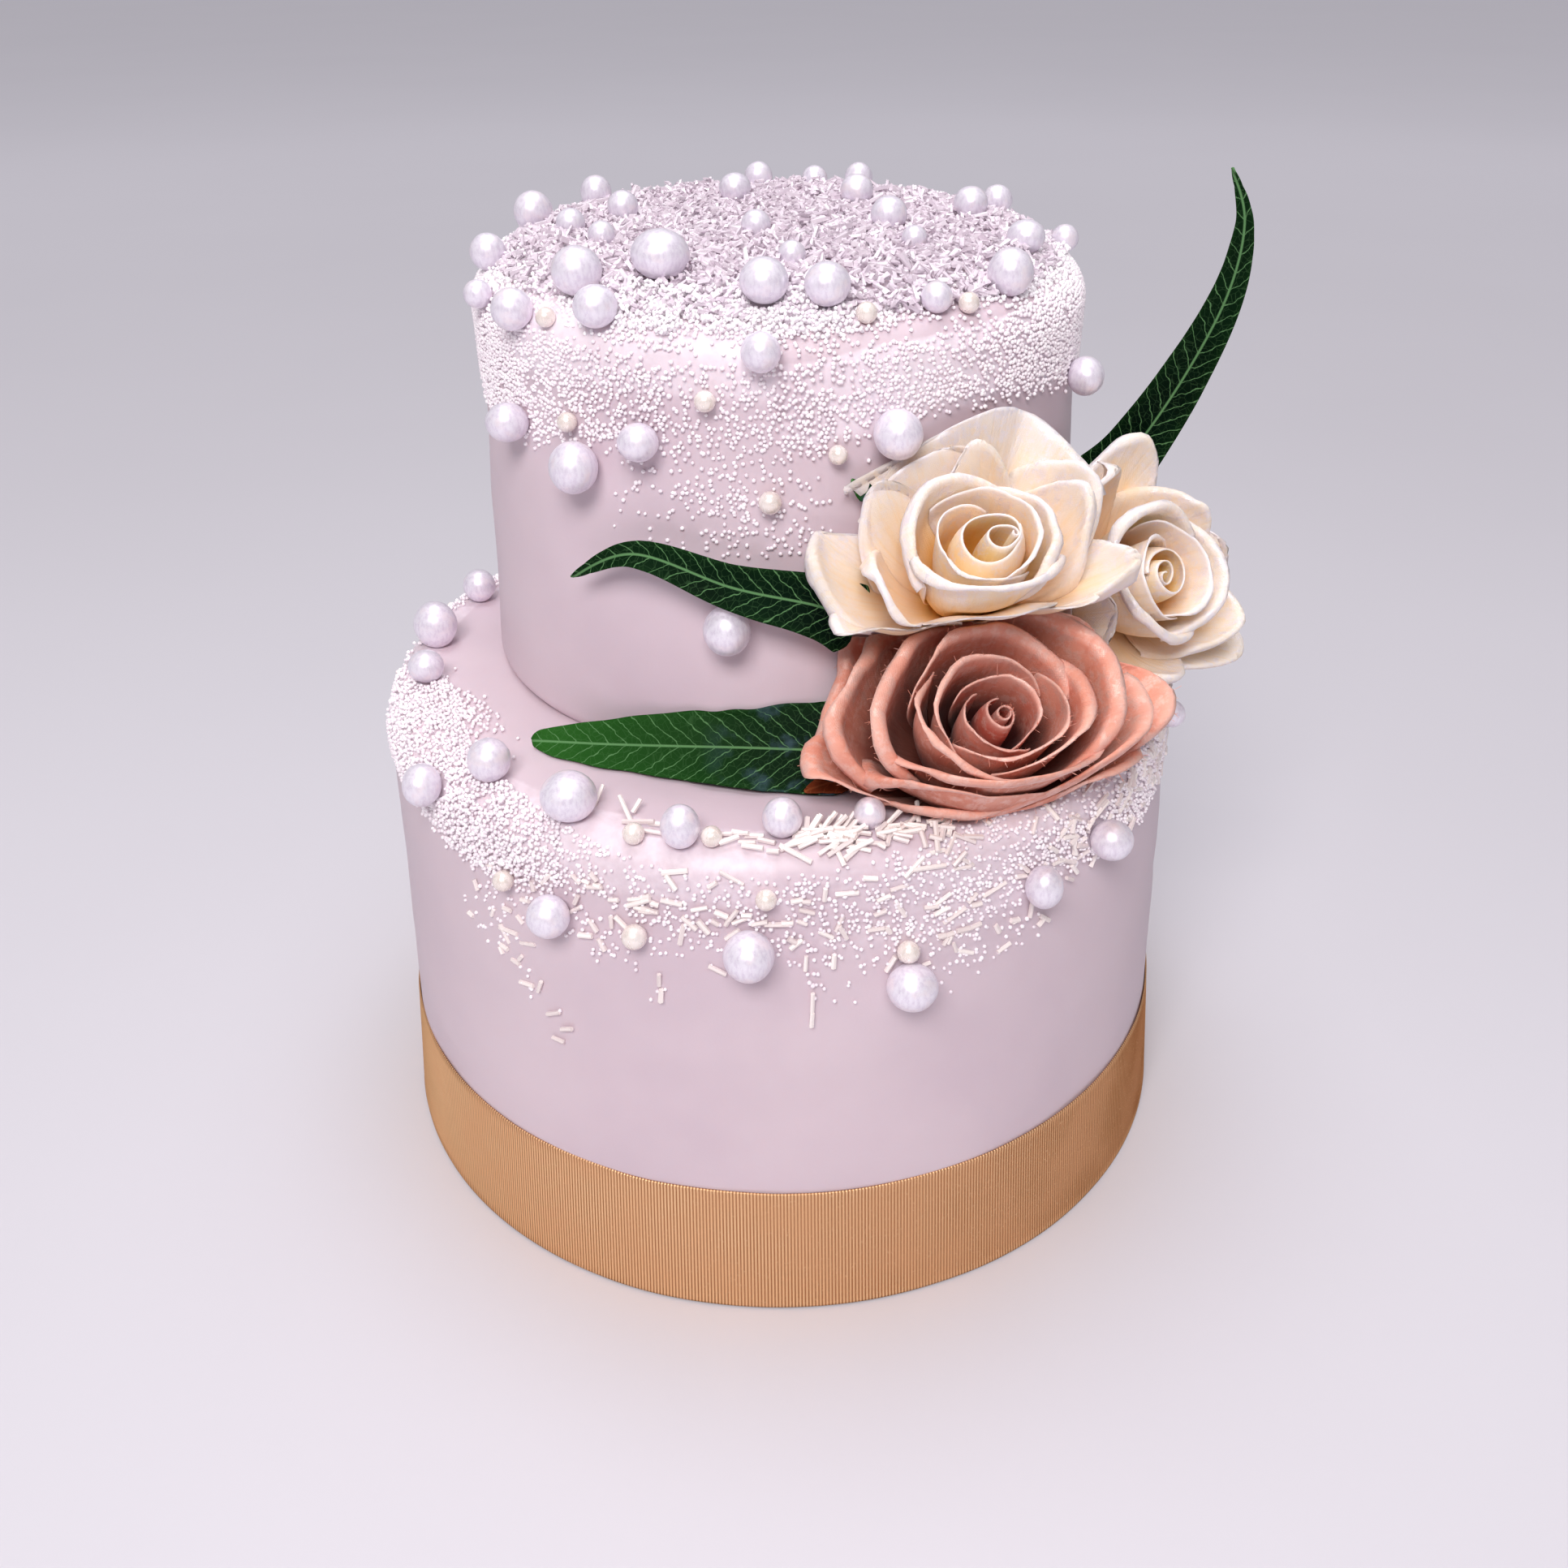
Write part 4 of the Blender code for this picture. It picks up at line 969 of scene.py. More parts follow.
# %% The roses' places
def press_out(points, clear):
    """Keeps points outside both tiers. Beside the upper tier a point moves out along the side,
    and at the lower tier it moves up or out, whichever is nearer."""
    points = points.copy()
    for _ in range(2):
        flat = points[..., :2] - upper.centre[:2]
        distance = np.linalg.norm(flat, axis=-1)
        up = points[..., 2] - upper.centre[2] - GAP
        skin = 75.3 * MM - 1.3 * MM * up / UPPER_HEIGHT + clear
        inside = (up > -clear) & (up < UPPER_HEIGHT) & (distance < skin)
        points[..., :2] += np.where(inside, (skin - distance) / distance, 0.0)[..., None] * flat
        distance = np.linalg.norm(points[..., :2], axis=-1)
        rise = LOWER_HEIGHT + clear - points[..., 2]
        out = 100.6 * MM + clear - distance
        inside = (rise > 0) & (out > 0)
        points[..., 2] += np.where(inside & (rise < out), rise, 0.0)
        points[..., :2] *= np.where(inside & (rise >= out), 1 + out / distance, 1.0)[..., None]
    return points


class Fence:
    """A wavy plane between two roses, which presses each to its own side. Its wave is
    0.9 mm * sin(a / 3.2 mm) * cos(b / 4.1 mm) + 0.7 mm * sin(a / 7 mm + 1) over the plane."""

    def __init__(self, place, facing):
        self.place = np.array(place) * MM
        self.facing = unit(np.array(facing))
        self.first = unit(np.cross(self.facing, [0.3, 0.2, 1.0]))
        self.second = np.cross(self.facing, self.first)

    def press(self, point, side, clear):
        away = point - self.place
        a, b = away @ self.first, away @ self.second
        wave = 0.9 * MM * np.sin(a / (3.2 * MM)) * np.cos(b / (4.1 * MM))
        wave = wave + 0.7 * MM * np.sin(a / (7 * MM) + 1)
        depth = (away @ self.facing - wave) * side
        soft = 0.7 * MM
        push = soft * np.logaddexp(0.0, (clear - depth) / soft)
        return point + self.facing * (side * push)[..., None]


FRONT_OVER_DUSTY = Fence((44, -66, 163.5), (-0.10, 0.45, 0.88))
SIDE_BY_FRONT = Fence((81, -52, 168), (0.72, 0.66, -0.20))
SIDE_BEFORE_LEAF = Fence((86, -10.5, 180), (-0.32, -0.94, -0.08))
SIDE_BY_DUSTY = Fence((86, -62, 152), (0.55, 0.74, 0.38))


class Rose:
    """A rose's axis, size, how far it is pressed flat above and below, its fences, each with the
    side that the rose is on and how far it keeps off, and its girth: rows of (angle, factor)."""

    def __init__(self, heart, bearing, tilt, height, spread, flatten, stand_off, fences, girth):
        b, t = np.radians(bearing), np.radians(tilt)
        ahead = np.array([np.sin(b), -np.cos(b), 0.0])
        self.height, self.spread, self.flatten = height * MM, spread * MM, flatten
        self.stand_off, self.fences, self.girth = stand_off * MM, fences, np.array(girth)
        self.axis = ahead * np.cos(t) + np.array([0.0, 0.0, np.sin(t)])
        self.right = np.array([np.cos(b), np.sin(b), 0.0])
        self.above = np.cross(self.axis, self.right)
        self.root = np.array(heart) * MM - self.axis * self.height

    def place(self, angle, radius, lift, clear):
        """root + axis * lift + right * r cos a + above * r sin a * squeeze, then off its fences.
        r is first scaled by the girth at that angle, more so the further out it is."""
        share = np.clip(radius / self.spread, 0, 1)
        around = (np.degrees(angle) + 180) % 360 - 180
        radius = radius * (1 + (np.interp(around, *self.girth.T) - 1) * share)
        up = radius * np.sin(angle)
        up = up * (1 + (np.where(up > 0, self.flatten[0], self.flatten[1]) - 1) * share)
        level = radius * np.cos(angle)
        point = (self.root + lift[..., None] * self.axis + level[..., None] * self.right
                 + up[..., None] * self.above)
        for fence, side, off in self.fences:
            point = fence.press(point, side, off * MM + 0.35 * clear)
        return press_out(point, clear + self.stand_off)


rose_dusty = Rose((46.5, -86, 151), 15, 52, 33, 41.0, (0.90, 0.42), 0.0,
                  [(FRONT_OVER_DUSTY, -1, 0.5), (SIDE_BY_DUSTY, -1, 0.2)],
                  [(-180, 0.91), (-165, 0.84), (-140, 0.76), (-100, 0.90), (-84, 0.86), (-50, 0.89),
                   (-10, 1.02), (20, 1.18), (50, 1.10), (90, 1.0), (120, 0.98), (138, 0.86),
                   (155, 0.90), (168, 0.97), (180, 0.91)])
rose_front = Rose((42.5, -76, 187), 6, 56, 30, 38.0, (0.86, 0.60), 2.2,
                  [(FRONT_OVER_DUSTY, 1, -1.2), (SIDE_BY_FRONT, -1, 0.0)],
                  [(-180, 0.88), (-145, 0.96), (-120, 1.15), (-75, 0.94), (-27, 0.80), (-7, 0.90),
                   (7, 0.80), (33, 0.94), (50, 0.88), (71, 0.93), (131, 1.08), (180, 0.88)])
rose_side = Rose((92, -40, 162), 38, 30, 28, 34.0, (0.95, 0.90), 0.0,
                 [(SIDE_BY_FRONT, 1, 0.2), (SIDE_BY_DUSTY, 1, 0.0), (SIDE_BEFORE_LEAF, 1, 0.2)],
                 [(-180, 1.0), (-70, 0.9), (-40, 1.1), (0, 0.96), (37, 0.85), (70, 1.02), (180, 1.0)])
for label, rose in (("dusty", rose_dusty), ("front", rose_front), ("side", rose_side)):
    print(label, "rose: root", np.round(rose.root / MM, 1), "mm, spread", round(rose.spread / MM, 1), "mm")


# %% Petals
PETAL_ROWS, PETAL_COLUMNS = 30, 29
FULL_ROLL = 2.45         # Radians that a lip rolls through at most.


def petal(rose, turn, half, reach, lip, curl, size, clear, draw, bowl, early, point):
    """A petal's points, from its foot at v = 0 to its lip at v = 1 and over u = -1..1.
    Its body is a blend of a bowl (sin t, 1 - cos t) and a slope (t, t), up to the crest. From
    there it rolls outwards on a circle of radius size mm through curl radians, and past a full
    roll it runs on straight, as a folded lip does. Towards the edges the roll starts earlier,
    by early * |u|**1.5, which leaves a pointed lip, and the petal is shorter, by
    (0.2 + point) * |u|**p, where a pointed petal has a smaller p."""
    t = np.linspace(0, 1, 61)
    arch = np.pi / 2 * t
    circle = size * MM
    crest = reach * rose.spread - circle * 0.8
    foot = min(3.0 * MM, crest * 0.5)
    out = foot + (crest - foot) * (bowl * np.sin(arch) + (1 - bowl) * t)
    up = rose.height * (0.08 + (lip - 0.08) * (bowl * (1 - np.cos(arch)) + (1 - bowl) * t))
    run = np.concatenate([[0], np.cumsum(np.hypot(np.diff(out), np.diff(up)))])
    lean = np.arctan2(np.gradient(out), np.gradient(up))
    u = np.linspace(-1, 1, PETAL_COLUMNS)[None, :]
    v = np.linspace(0, 1, PETAL_ROWS)[:, None] ** 0.85
    waves = (np.sin(u * draw.uniform(2.5, 5) + draw.uniform(0, 6))
             + 0.5 * np.sin(u * draw.uniform(7, 12) + draw.uniform(0, 6)))
    edge = (1 - (0.2 + point) * abs(u) ** max(1.3, 2.4 - 5 * point)
            + 0.5 * point * np.exp(-(abs(u) / 0.2) ** 1.5) + 0.02 * waves)
    edge = edge + draw.uniform(-0.004, 0.004, u.shape)
    s = v * edge * (run[-1] + circle * curl)
    start = run[-1] * (1 - early * abs(u + 0.15 * draw.uniform(-1, 1)) ** 1.5)
    body, extra = np.minimum(s, start), np.maximum(0, s - start)
    first = np.interp(start, run, lean)
    circle = circle * (1 + 0.25 * np.sin(u * draw.uniform(2, 4) + draw.uniform(0, 6)))
    beta = np.minimum(extra / circle, FULL_ROLL)
    rest = extra - beta * circle
    way = first + beta
    radius = np.interp(body, run, out) + circle * (np.cos(first) - np.cos(way)) + rest * np.sin(way)
    lift = np.interp(body, run, up) + circle * (np.sin(way) - np.sin(first)) + rest * np.cos(way)
    width = np.radians(half) * (0.40 + 0.60 * np.sin(np.pi * (0.08 + 0.46 * v)))
    angle = np.radians(turn) + u * width
    overlap, flare = 1.4 * MM, 0.05 * reach * rose.spread
    radius = radius + overlap * u * (0.4 + 0.6 * v) + flare * u ** 2 * v
    crease = Noise(int(draw.integers(1000)))
    ripple = 1.1 * MM * (crease(u * 2.6 + 10, v * 2.2 + 10) - 0.5)
    ripple = ripple + 0.5 * MM * (crease(u * 7 + 30, v * 5 + 30) - 0.5)
    ripple = ripple * v * (0.4 + 0.6 * reach)
    point = rose.place(angle, radius + ripple, lift + 0.5 * ripple, clear)
    uv = np.stack([u * np.radians(half) * reach * rose.spread / MM + 0 * v, s / MM], axis=-1)
    # deep, 1 - v, places the painted shade in the cup, and lip marks the cut edge, which is paler and
    # carries a painted highlight.
    return point, uv, 1 - v + 0 * u, np.maximum(v ** 14, abs(u) ** 16 * v)


def heart_roll(rose, size, turns, lip, clear, hand=1, first=0.0, shift=0.0, pinch=1.0, cone=0.0):
    """The rolled heart: a sheet wound so that its radius grows with each turn,
    r = size * (0.08 + 0.92 t) * (waves) * (bulge of v), for t from 0 to 1. Its inner turns
    are moved sideways by shift * (1 - t), its width is pinched, and they rise by cone."""
    t = np.linspace(0, 1, 28 * int(np.ceil(turns)))[None, :]
    v = np.linspace(0, 1, PETAL_ROWS)[:, None]
    theta = hand * t * turns * 2 * np.pi + first
    grow = size * MM * (0.08 + 0.92 * t) * (1 + 0.06 * np.sin(2 * theta + 1) + 0.04 * np.sin(3 * theta))
    bulge = 0.40 + 0.72 * np.sin(np.pi * (0.06 + 0.68 * v)) - 0.10 * v
    x = grow * bulge * np.cos(theta) * pinch + shift * MM * (1 - t) * (0.3 + 0.7 * v)
    y = grow * bulge * np.sin(theta)
    top = lip * (1 + 0.03 * np.sin(5 * t * turns + 1) + cone * (1 - t))
    lift = rose.height * (0.15 + (top - 0.15) * v ** 0.85)
    point = rose.place(np.arctan2(y, x), np.hypot(x, y), lift + 0 * t, clear)
    uv = np.stack([t * turns * 2 * np.pi * size * 0.6 + 0 * v, v * rose.height / MM + 0 * t], axis=-1)
    return point, uv, 1 - v + 0 * t, v ** 14 + 0 * t


# %% Petal finishes
def petal_material(name, shade, heart, body, lip, edge_dust_and_highlight, rough, glow, depth):
    """Pressed cloth: a painted shade, the shade colour standing for the shadow in the depth of
    each cup, the heart's colour near the axis, the body's beyond it and a pale lip, with slow
    mottling, creases that run from foot to lip with a painted shade in their grooves, a silvery
    dust near the lip, a weave in the bump and a paler cut edge, which is also a painted highlight
    along the lip. depth says where the painted shade starts and ends, and how much of it the
    outer petals have."""
    material, tree, shader, place = new_material(
        name, Subsurface_Weight=glow, Subsurface_Scale=3.0 * MM, Subsurface_Radius=(1.0, 0.75, 0.5),
        Sheen_Weight=0.06, Sheen_Roughness=0.4, Specular_IOR_Level=0.12)
    uv = put(tree, "ShaderNodeUVMap", uv_map="UVMap").outputs[0]
    weave = use_group(tree, WEAVE, {"Place": uv, "Threads": 3.4})
    deep, warm, edge = (point_value(tree, name) for name in ("deep", "warm", "lip"))
    mottle, dust = cloudy(tree, place, 90.0, 4.0), cloudy(tree, place, 300.0, 6.0, Roughness=0.7)
    long_way = put(tree, "ShaderNodeMapping", {"Vector": uv, "Scale": (0.45, 0.06, 1.0)}).outputs[0]
    crease = cloudy(tree, long_way, 1.0, 4.0, Distortion=0.6)
    tint = blend(tree, spread(tree, warm, 0.0, 1.0), body, heart)
    tint = blend(tree, spread(tree, mottle, 0.3, 0.75, 0.0, 0.45), tint, lip)
    # Painted shade: the grooves of the creases take the heart's deeper colour.
    tint = blend(tree, spread(tree, crease, 0.52, 0.36, 0.0, 0.18), tint, heart)
    # Painted shade: the shade colour darkens each petal towards its foot, deep in the cup, and most near
    # the heart.
    start, end, outer = depth
    near_heart = spread(tree, warm, 0.0, 0.6, outer, 1.0)
    tint = blend(tree, times(tree, spread(tree, deep, start, end, 0.0, 0.95), near_heart), tint, shade)
    powder = times(tree, spread(tree, deep, 0.5, 0.05), spread(tree, dust, 0.46, 0.62))
    tint = blend(tree, times(tree, powder, 0.6), tint, edge_dust_and_highlight)
    # The cut edge is paler: partly the cloth's own frayed edge, partly a painted highlight along the lip.
    tint = blend(tree, times(tree, edge, 0.6), tint, edge_dust_and_highlight)
    tree.links.new(spread(tree, powder, 0.0, 1.0, 0.0, 0.3), shader.inputs["Metallic"])
    relief = sums(tree, "ADD", times(tree, weave.outputs["Height"], 0.3), times(tree, crease, 1.6))
    satin = spread(tree, powder, 0.0, 1.0, rough, rough - 0.25)
    finish(tree, shader, tint, satin, relief, 0.5, 0.45 * MM)
    return material


# The shade colours are painted shade: deep gold in the cream roses' cups and dark maroon in the dusty
# rose's.
cream_cloth = petal_material(
    "cream_petal_cloth", shade=srgb(255, 188, 92), heart=srgb(255, 202, 100), body=srgb(252, 230, 208),
    lip=srgb(254, 242, 234), edge_dust_and_highlight=srgb(248, 240, 248), rough=0.7, glow=0.35, depth=(0.12, 0.60, 0.40))
dusty_cloth = petal_material(
    "dusty_petal_cloth", shade=srgb(76, 10, 12), heart=srgb(196, 72, 50), body=srgb(230, 144, 120),
    lip=srgb(244, 182, 162), edge_dust_and_highlight=srgb(244, 204, 192), rough=0.75, glow=0.10, depth=(0.10, 0.52, 0.80))
print("finishes:", cream_cloth.name, dusty_cloth.name)


# %% Build the roses
def make_rose(name, rose, sheets, material, slot, warm_reach):
    """Joins all sheets of a rose in one mesh, and notes for each point how far out it is."""
    points, uvs, deep, lips, faces, start = [], [], [], [], [], 0
    for point, uv, depth, lip in sheets:
        rows, columns = depth.shape
        faces.append(grid_faces(rows, columns) + start)
        start += rows * columns
        points.append(point.reshape(-1, 3))
        uvs.append(uv.reshape(-1, 2))
        deep.append(depth.ravel())
        lips.append(lip.ravel())
    points = np.concatenate(points)
    away = points - rose.root
    along = away @ rose.axis
    distance = np.linalg.norm(away - along[:, None] * rose.axis, axis=1)
    warm = np.clip(1.15 - distance / (warm_reach * MM), 0, 1)
    values = {"deep": np.concatenate(deep), "lip": np.concatenate(lips), "warm": warm}
    piece = add_piece(name, points, np.concatenate(faces), material, values, np.concatenate(uvs))
    thicken(piece, 0.35 * MM, 0.0)
    fix(piece, slot, name.replace("_cloth", ""))


def petals_of(rose, table, seed):
    """Petals from rows of (first turn, count, half, reach, lip, curl, roll size, bowl, early,
    point). The inner rows keep further off the cake than the outer ones."""
    draw = np.random.default_rng(seed)
    sheets = []
    for level, (first, count, half, reach, lip, curl, size, bowl, early, point) in enumerate(table):
        for index in range(count):
            turn = first + 360 * index / count + draw.uniform(-5, 5) * (count > 1)
            clear = 0.5 * MM + 0.45 * MM * (len(table) - 1 - level) + 0.4 * MM * (index % 2)
            sheets.append(petal(
                rose, turn, half * draw.uniform(0.94, 1.06), reach * draw.uniform(0.97, 1.03),
                lip * draw.uniform(0.98, 1.02), curl * draw.uniform(0.85, 1.15), size, clear, draw,
                bowl, early, point))
    return sheets


# Rows: first turn, count, half width (degrees), reach, lip, curl, roll size, bowl, early, point.
DUSTY_TABLE = [
    (30, 2, 104, 0.22, 0.98, 0.5, 0.72, 1.0, 0.10, 0.0),
    (-60, 2, 100, 0.34, 1.02, 1.1, 0.96, 1.0, 0.12, 0.0),
    (84, 3, 74, 0.47, 1.03, 1.8, 1.44, 0.95, 0.20, 0.03),
    (20, 3, 74, 0.65, 0.95, 2.0, 2, 0.9, 0.25, 0.04),
    (56, 4, 60, 0.85, 0.78, 1.9, 2.48, 0.8, 0.30, 0.05),
    (10, 6, 42, 1.06, 0.52, 1.2, 2.72, 0.55, 0.30, 0.08)]
sheets = [heart_roll(rose_dusty, 5.6, 1.9, 0.93, GAP, hand=-1, first=0.6, shift=1.6, pinch=0.7,
                     cone=0.02)]
sheets += petals_of(rose_dusty, DUSTY_TABLE, 5)
make_rose("rose_dusty_cloth", rose_dusty, sheets, dusty_cloth, "dusty_petal", 13)


def frayed(name, sheets, count, material, slot, seed):
    """Loose threads at the cut lips: each starts at a point of a lip and runs on the way that
    the petal ends, turned a little at random."""
    draw = np.random.default_rng(seed)
    lips = np.concatenate([point[-1] for point, *_ in sheets])
    ahead = unit(lips - np.concatenate([point[-4] for point, *_ in sheets]))
    chosen = draw.integers(0, len(lips), count)
    way = unit(ahead[chosen] + draw.normal(0, 0.5, (count, 3)))
    lengths = draw.gamma(4.0, 0.3, count).clip(0.4, 2.8) * MM
    facing, widths = draw.normal(0, 1, (count, 3)), draw.uniform(0.05, 0.10, count) * MM
    bars(name, lips[chosen] + way * lengths[:, None] * 0.4, way, facing, lengths, widths,
         4, 0.1, material, seed, slot)


frayed("rose_dusty_threads", sheets, 700, dusty_cloth, "dusty_petal", 90)

FRONT_TABLE = [
    (200, 1, 120, 0.28, 1.00, 0.8, 0.49, 1.0, 0.10, 0.0),
    (20, 1, 110, 0.32, 1.01, 1.2, 0.56, 1.0, 0.10, 0.0),
    (128, 1, 84, 0.39, 1.03, 3.2, 0.77, 1.0, 0.25, 0.0),
    (8, 1, 78, 0.41, 1.00, 2.8, 0.7, 1.0, 0.25, 0.04),
    (-98, 1, 86, 0.42, 0.98, 3.0, 0.77, 1.0, 0.20, 0.0),
    (80, 1, 46, 0.66, 1.06, 4.6, 0.77, 0.85, 0.75, 0.26),
    (140, 1, 44, 0.70, 0.95, 3.0, 0.84, 0.80, 0.70, 0.24),
    (22, 1, 46, 0.74, 0.94, 2.2, 0.84, 0.80, 0.65, 0.22),
    (198, 1, 42, 0.66, 0.88, 3.0, 0.84, 0.80, 0.30, 0.02),
    (-72, 1, 56, 0.70, 0.80, 2.6, 0.91, 0.75, 0.55, 0.10),
    (44, 1, 46, 0.96, 0.84, 0.9, 1.26, 0.6, 0.60, 0.10),
    (98, 1, 42, 0.92, 0.80, 1.6, 1.12, 0.6, 0.30, 0.10),
    (-6, 1, 40, 1.04, 0.68, 2.2, 0.98, 0.6, 0.75, 0.30),
    (180, 1, 38, 1.02, 0.72, 2.0, 1.12, 0.6, 0.40, 0.14),
    (222, 1, 44, 1.08, 0.62, 1.6, 1.12, 0.5, 0.50, 0.12),
    (-46, 1, 42, 0.96, 0.62, 1.8, 1.05, 0.6, 0.55, 0.14),
    (80, 1, 50, 1.24, 0.80, 0.5, 1.4, 0.4, 0.25, 0.0)]
sheets = [heart_roll(rose_front, 9.6, 2.5, 0.97, GAP, first=3.4, shift=6.4, pinch=0.92, cone=0.03)]
sheets += petals_of(rose_front, FRONT_TABLE, 7)
make_rose("rose_cream_front_cloth", rose_front, sheets, cream_cloth, "cream_petal", 13)

SIDE_TABLE = [
    (160, 1, 110, 0.30, 1.00, 0.8, 0.56, 1.0, 0.10, 0.0),
    (-20, 1, 110, 0.34, 1.00, 1.2, 0.63, 1.0, 0.10, 0.0),
    (95, 1, 84, 0.46, 1.02, 3.4, 0.84, 1.0, 0.20, 0.0),
    (-25, 1, 84, 0.46, 1.00, 3.2, 0.84, 1.0, 0.20, 0.0),
    (215, 1, 76, 0.47, 0.98, 3.0, 0.84, 1.0, 0.20, 0.0),
    (102, 1, 44, 0.80, 0.98, 2.0, 0.84, 0.8, 0.75, 0.28),
    (30, 1, 48, 0.78, 0.90, 2.3, 0.84, 0.8, 0.60, 0.16),
    (-45, 1, 50, 0.80, 0.88, 2.4, 0.91, 0.8, 0.50, 0.08),
    (190, 1, 50, 0.76, 0.86, 2.4, 0.84, 0.8, 0.55, 0.12),
    (-110, 1, 50, 0.80, 0.84, 2.6, 0.84, 0.8, 0.55, 0.14),
    (68, 1, 38, 1.06, 0.76, 1.4, 1.05, 0.6, 0.65, 0.28),
    (118, 1, 40, 1.04, 0.74, 1.8, 1.05, 0.6, 0.60, 0.22),
    (4, 1, 42, 1.06, 0.66, 1.4, 1.05, 0.6, 0.60, 0.24),
    (-52, 1, 40, 1.10, 0.62, 2.2, 0.98, 0.6, 0.65, 0.28),
    (-100, 1, 42, 1.02, 0.62, 1.8, 1.05, 0.6, 0.50, 0.12),
    (170, 1, 42, 0.98, 0.62, 1.8, 1.05, 0.6, 0.50, 0.12)]
sheets = [heart_roll(rose_side, 8.2, 2.3, 0.96, GAP, first=1.0, shift=-3.0, cone=0.02)]
sheets += petals_of(rose_side, SIDE_TABLE, 12)
make_rose("rose_cream_side_cloth", rose_side, sheets, cream_cloth, "cream_petal", 11)

# %% [markdown]
# ## Leaves
#
# The leaves are printed cloth too: dark green with a pale midrib, side veins that run forward to
# the edge and a net of finer veins between them. Each leaf is a strip along a curved midrib,
# folded a little, with a wavy edge. The veins follow the strip's own UV map, in millimetres.

# %% Leaf finish
def leaf_material(name, dark, mid, vein, leaf_painted_light, dusted):
    """Veins over green. A side vein lies where fract((y - 1.25 |x| + wander) / 4.2 mm) is half,
    the midrib where |x| is small, and a net of fine veins on the edges of cells. A painted light
    makes the green lighter where the attribute light is high. A dusting of lustre shows near the
    rose, where the attribute dust is high."""
    material, tree, shader, place = new_material(name, Specular_IOR_Level=0.04)
    uv = put(tree, "ShaderNodeUVMap", uv_map="UVMap").outputs[0]
    where = put(tree, "ShaderNodeSeparateXYZ", {0: uv})
    away = sums(tree, "ABSOLUTE", where.outputs[0])
    wander = cloudy(tree, uv, 0.35, 2.0)
    slant = sums(tree, "SUBTRACT", where.outputs[1], times(tree, away, 1.25))
    slant = sums(tree, "ADD", slant, times(tree, wander, 3.0))
    cycle = sums(tree, "FRACT", sums(tree, "DIVIDE", slant, 4.2))
    cycle = sums(tree, "ABSOLUTE", sums(tree, "SUBTRACT", cycle, 0.5))
    side_vein = spread(tree, cycle, 0.06, 0.012)
    midrib = spread(tree, away, 0.42, 0.12)
    net = put(tree, "ShaderNodeTexVoronoi", {"Vector": uv, "Scale": 0.6}, feature="DISTANCE_TO_EDGE")
    fine = times(tree, spread(tree, net.outputs["Distance"], 0.045, 0.0), 0.16)
    lines = sums(tree, "MAXIMUM", sums(tree, "MAXIMUM", times(tree, side_vein, 0.9), midrib), fine)
    mottle, powder = cloudy(tree, place, 55.0, 4.0), cloudy(tree, place, 160.0, 5.0)
    tint = blend(tree, spread(tree, mottle, 0.3, 0.7), dark, mid)
    # Painted light: the green turns lighter where the attribute light is high.
    tint = blend(tree, point_value(tree, "light"), tint, leaf_painted_light)
    tint = blend(tree, times(tree, lines, 0.75), tint, vein)
    dusting = times(tree, point_value(tree, "dust"), spread(tree, powder, 0.5, 0.68))
    tint = blend(tree, times(tree, dusting, 0.7), tint, dusted)
    weave = use_group(tree, WEAVE, {"Place": uv, "Threads": 3.0})
    relief = sums(tree, "SUBTRACT", times(tree, weave.outputs["Height"], 0.4), lines)
    finish(tree, shader, tint, spread(tree, mottle, 0.3, 0.7, 0.5, 0.65), relief, 0.5, 0.2 * MM)
    return material


leaf_cloth = leaf_material(
    "leaf_cloth", dark=srgb(1, 11, 7), mid=srgb(3, 23, 11), vein=srgb(104, 150, 98),
    leaf_painted_light=srgb(44, 100, 34), dusted=srgb(70, 92, 104))
brown_cloth = leaf_material(
    "sepal_cloth", dark=srgb(96, 40, 22), mid=srgb(128, 58, 30), vein=srgb(150, 84, 50),
    leaf_painted_light=srgb(140, 70, 40), dusted=srgb(150, 100, 80))
print("finishes:", leaf_cloth.name, brown_cloth.name)


# %% Leaves
def smooth_path(points, share):
    """A Catmull-Rom curve through points: each stretch is a cubic set by its four nearest."""
    points = np.array(points, float) * MM
    last = len(points) - 1
    step = np.minimum((share * last).astype(int), last - 1)
    t = (share * last - step)[:, None]
    before, start = points[np.maximum(step - 1, 0)], points[step]
    end, after = points[step + 1], points[np.minimum(step + 2, last)]
    return 0.5 * (2 * start + (end - before) * t + (2 * before - 5 * start + 4 * end - after) * t ** 2
                  + (3 * start - before - 3 * end + after) * t ** 3)


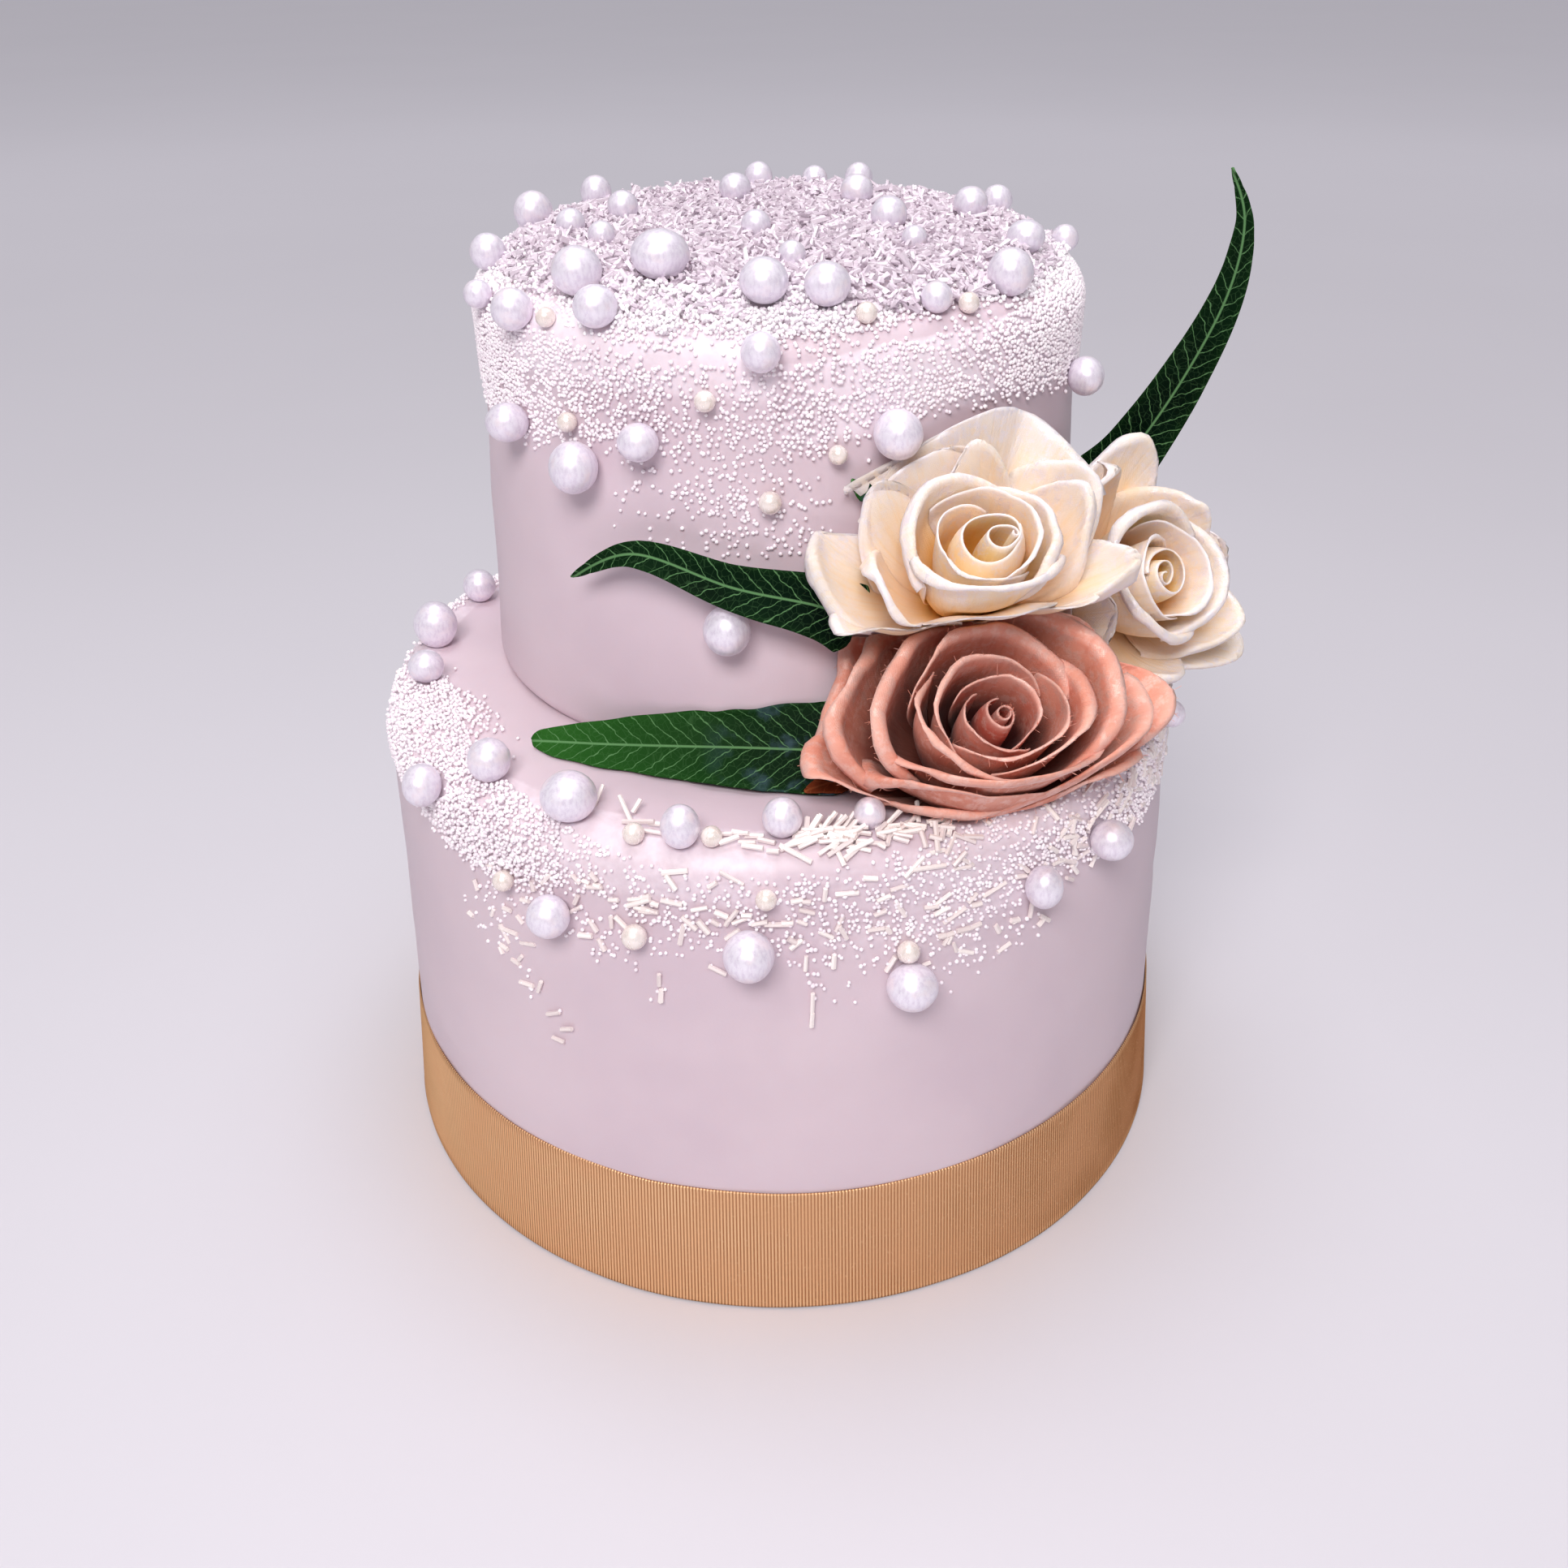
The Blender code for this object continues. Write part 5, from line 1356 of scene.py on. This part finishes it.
def leaf(name, midrib, half, facing, widest, narrow, fold, material, slot, leaf_painted_light, columns=25, rows=96):
    """rib(t) + sideways * w(t) * u + raised * (fold * w * |u| + wave), u from -1 to 1, where the
    half width w swells to its widest and then narrows as (1 - t) ** narrow."""
    t = np.linspace(0, 1, rows)
    u = np.linspace(-1, 1, columns)
    rib = smooth_path(midrib, t)
    ahead, behind = np.minimum(1, t + 0.02), np.maximum(0, t - 0.02)
    along = unit(smooth_path(midrib, ahead) - smooth_path(midrib, behind))
    sideways = unit(np.cross(along, unit(np.array(facing))))
    raised = np.cross(sideways, along)
    swell = np.where(t < widest, np.sqrt(t / widest), 1.0)
    taper = np.where(t < widest, 1.0, (np.maximum(0, 1 - t) / (1 - widest)) ** narrow)
    width = half * MM * np.maximum(0.02, (0.55 + 0.45 * swell) * taper)
    wave = 0.05 * half * MM * np.sin(14 * t)[:, None] * u[None, :]
    wave = wave + 0.03 * half * MM * np.sin(41 * t)[:, None] * (u[None, :] ** 3)
    lift = fold * width[:, None] * (abs(u) ** 1.3)[None, :] + wave
    across = width[:, None] * u[None, :]
    points = rib[:, None] + sideways[:, None] * across[..., None] + raised[:, None] * lift[..., None]
    points = press_out(points, 0.9 * MM)
    run = np.concatenate([[0], np.cumsum(np.linalg.norm(np.diff(rib, axis=0), axis=1))]) / MM
    uv = np.stack([across / MM, run[:, None] + 0 * across], axis=-1)
    # Painted light: the green is made lighter towards the tip and a little along the edges, by the leaf's
    # given amount.
    light = np.clip(leaf_painted_light * (t[:, None] ** 1.5) + 0.10 * abs(u[None, :]) ** 6, 0, 1)
    dust = np.clip(1.2 - 2.6 * t[:, None], 0, 1) * (leaf_painted_light > 0.5) + 0 * light
    piece = add_piece(name + "_cloth", points.reshape(-1, 3), grid_faces(rows, columns), material,
                      {"light": light, "dust": dust}, uv.reshape(-1, 2))
    thicken(piece, 0.4 * MM, 0.0)
    fix(piece, slot, name)


leaf("leaf_upper", [(17, -67, 163), (8, -67, 167), (-10, -67, 171.5), (-31, -61, 177), (-46, -52, 168)],
     8.2, (-0.1, -0.95, 0.3), 0.08, 0.80, 0.12, leaf_cloth, "leaf_green", 0.1)
leaf("leaf_lower", [(15, -69, 132), (-5, -67, 132), (-21, -64, 131), (-42, -58, 128.6), (-58, -53, 127)],
     11.2, (-0.2, -0.7, 0.7), 0.05, 0.52, 0.10, leaf_cloth, "leaf_green", 0.85)
leaf("leaf_tall",
     [(80, -5, 170), (87, -8, 180), (96.5, -13, 200), (103.5, -18, 221), (105, -20, 238), (101, -20, 250)],
     8.6, (-0.3, -0.9, 0.25), 0.06, 0.95, 0.12, leaf_cloth, "leaf_green", 0.1)
leaf("leaf_small", [(19.6, -61.5, 190.5), (18, -61, 191), (15.6, -60, 193)],
     2.3, (0.2, -0.95, 0.2), 0.4, 0.75, 0.10, leaf_cloth, "leaf_green", 1.0, columns=13, rows=24)
leaf("sepal_brown", [(15, -73, 127.4), (11, -74, 127.0), (5, -77, 126.6)],
     3.8, (0.0, -0.3, 0.95), 0.4, 0.75, 0.05, brown_cloth, "sepal_brown", 0.3, columns=13, rows=24)
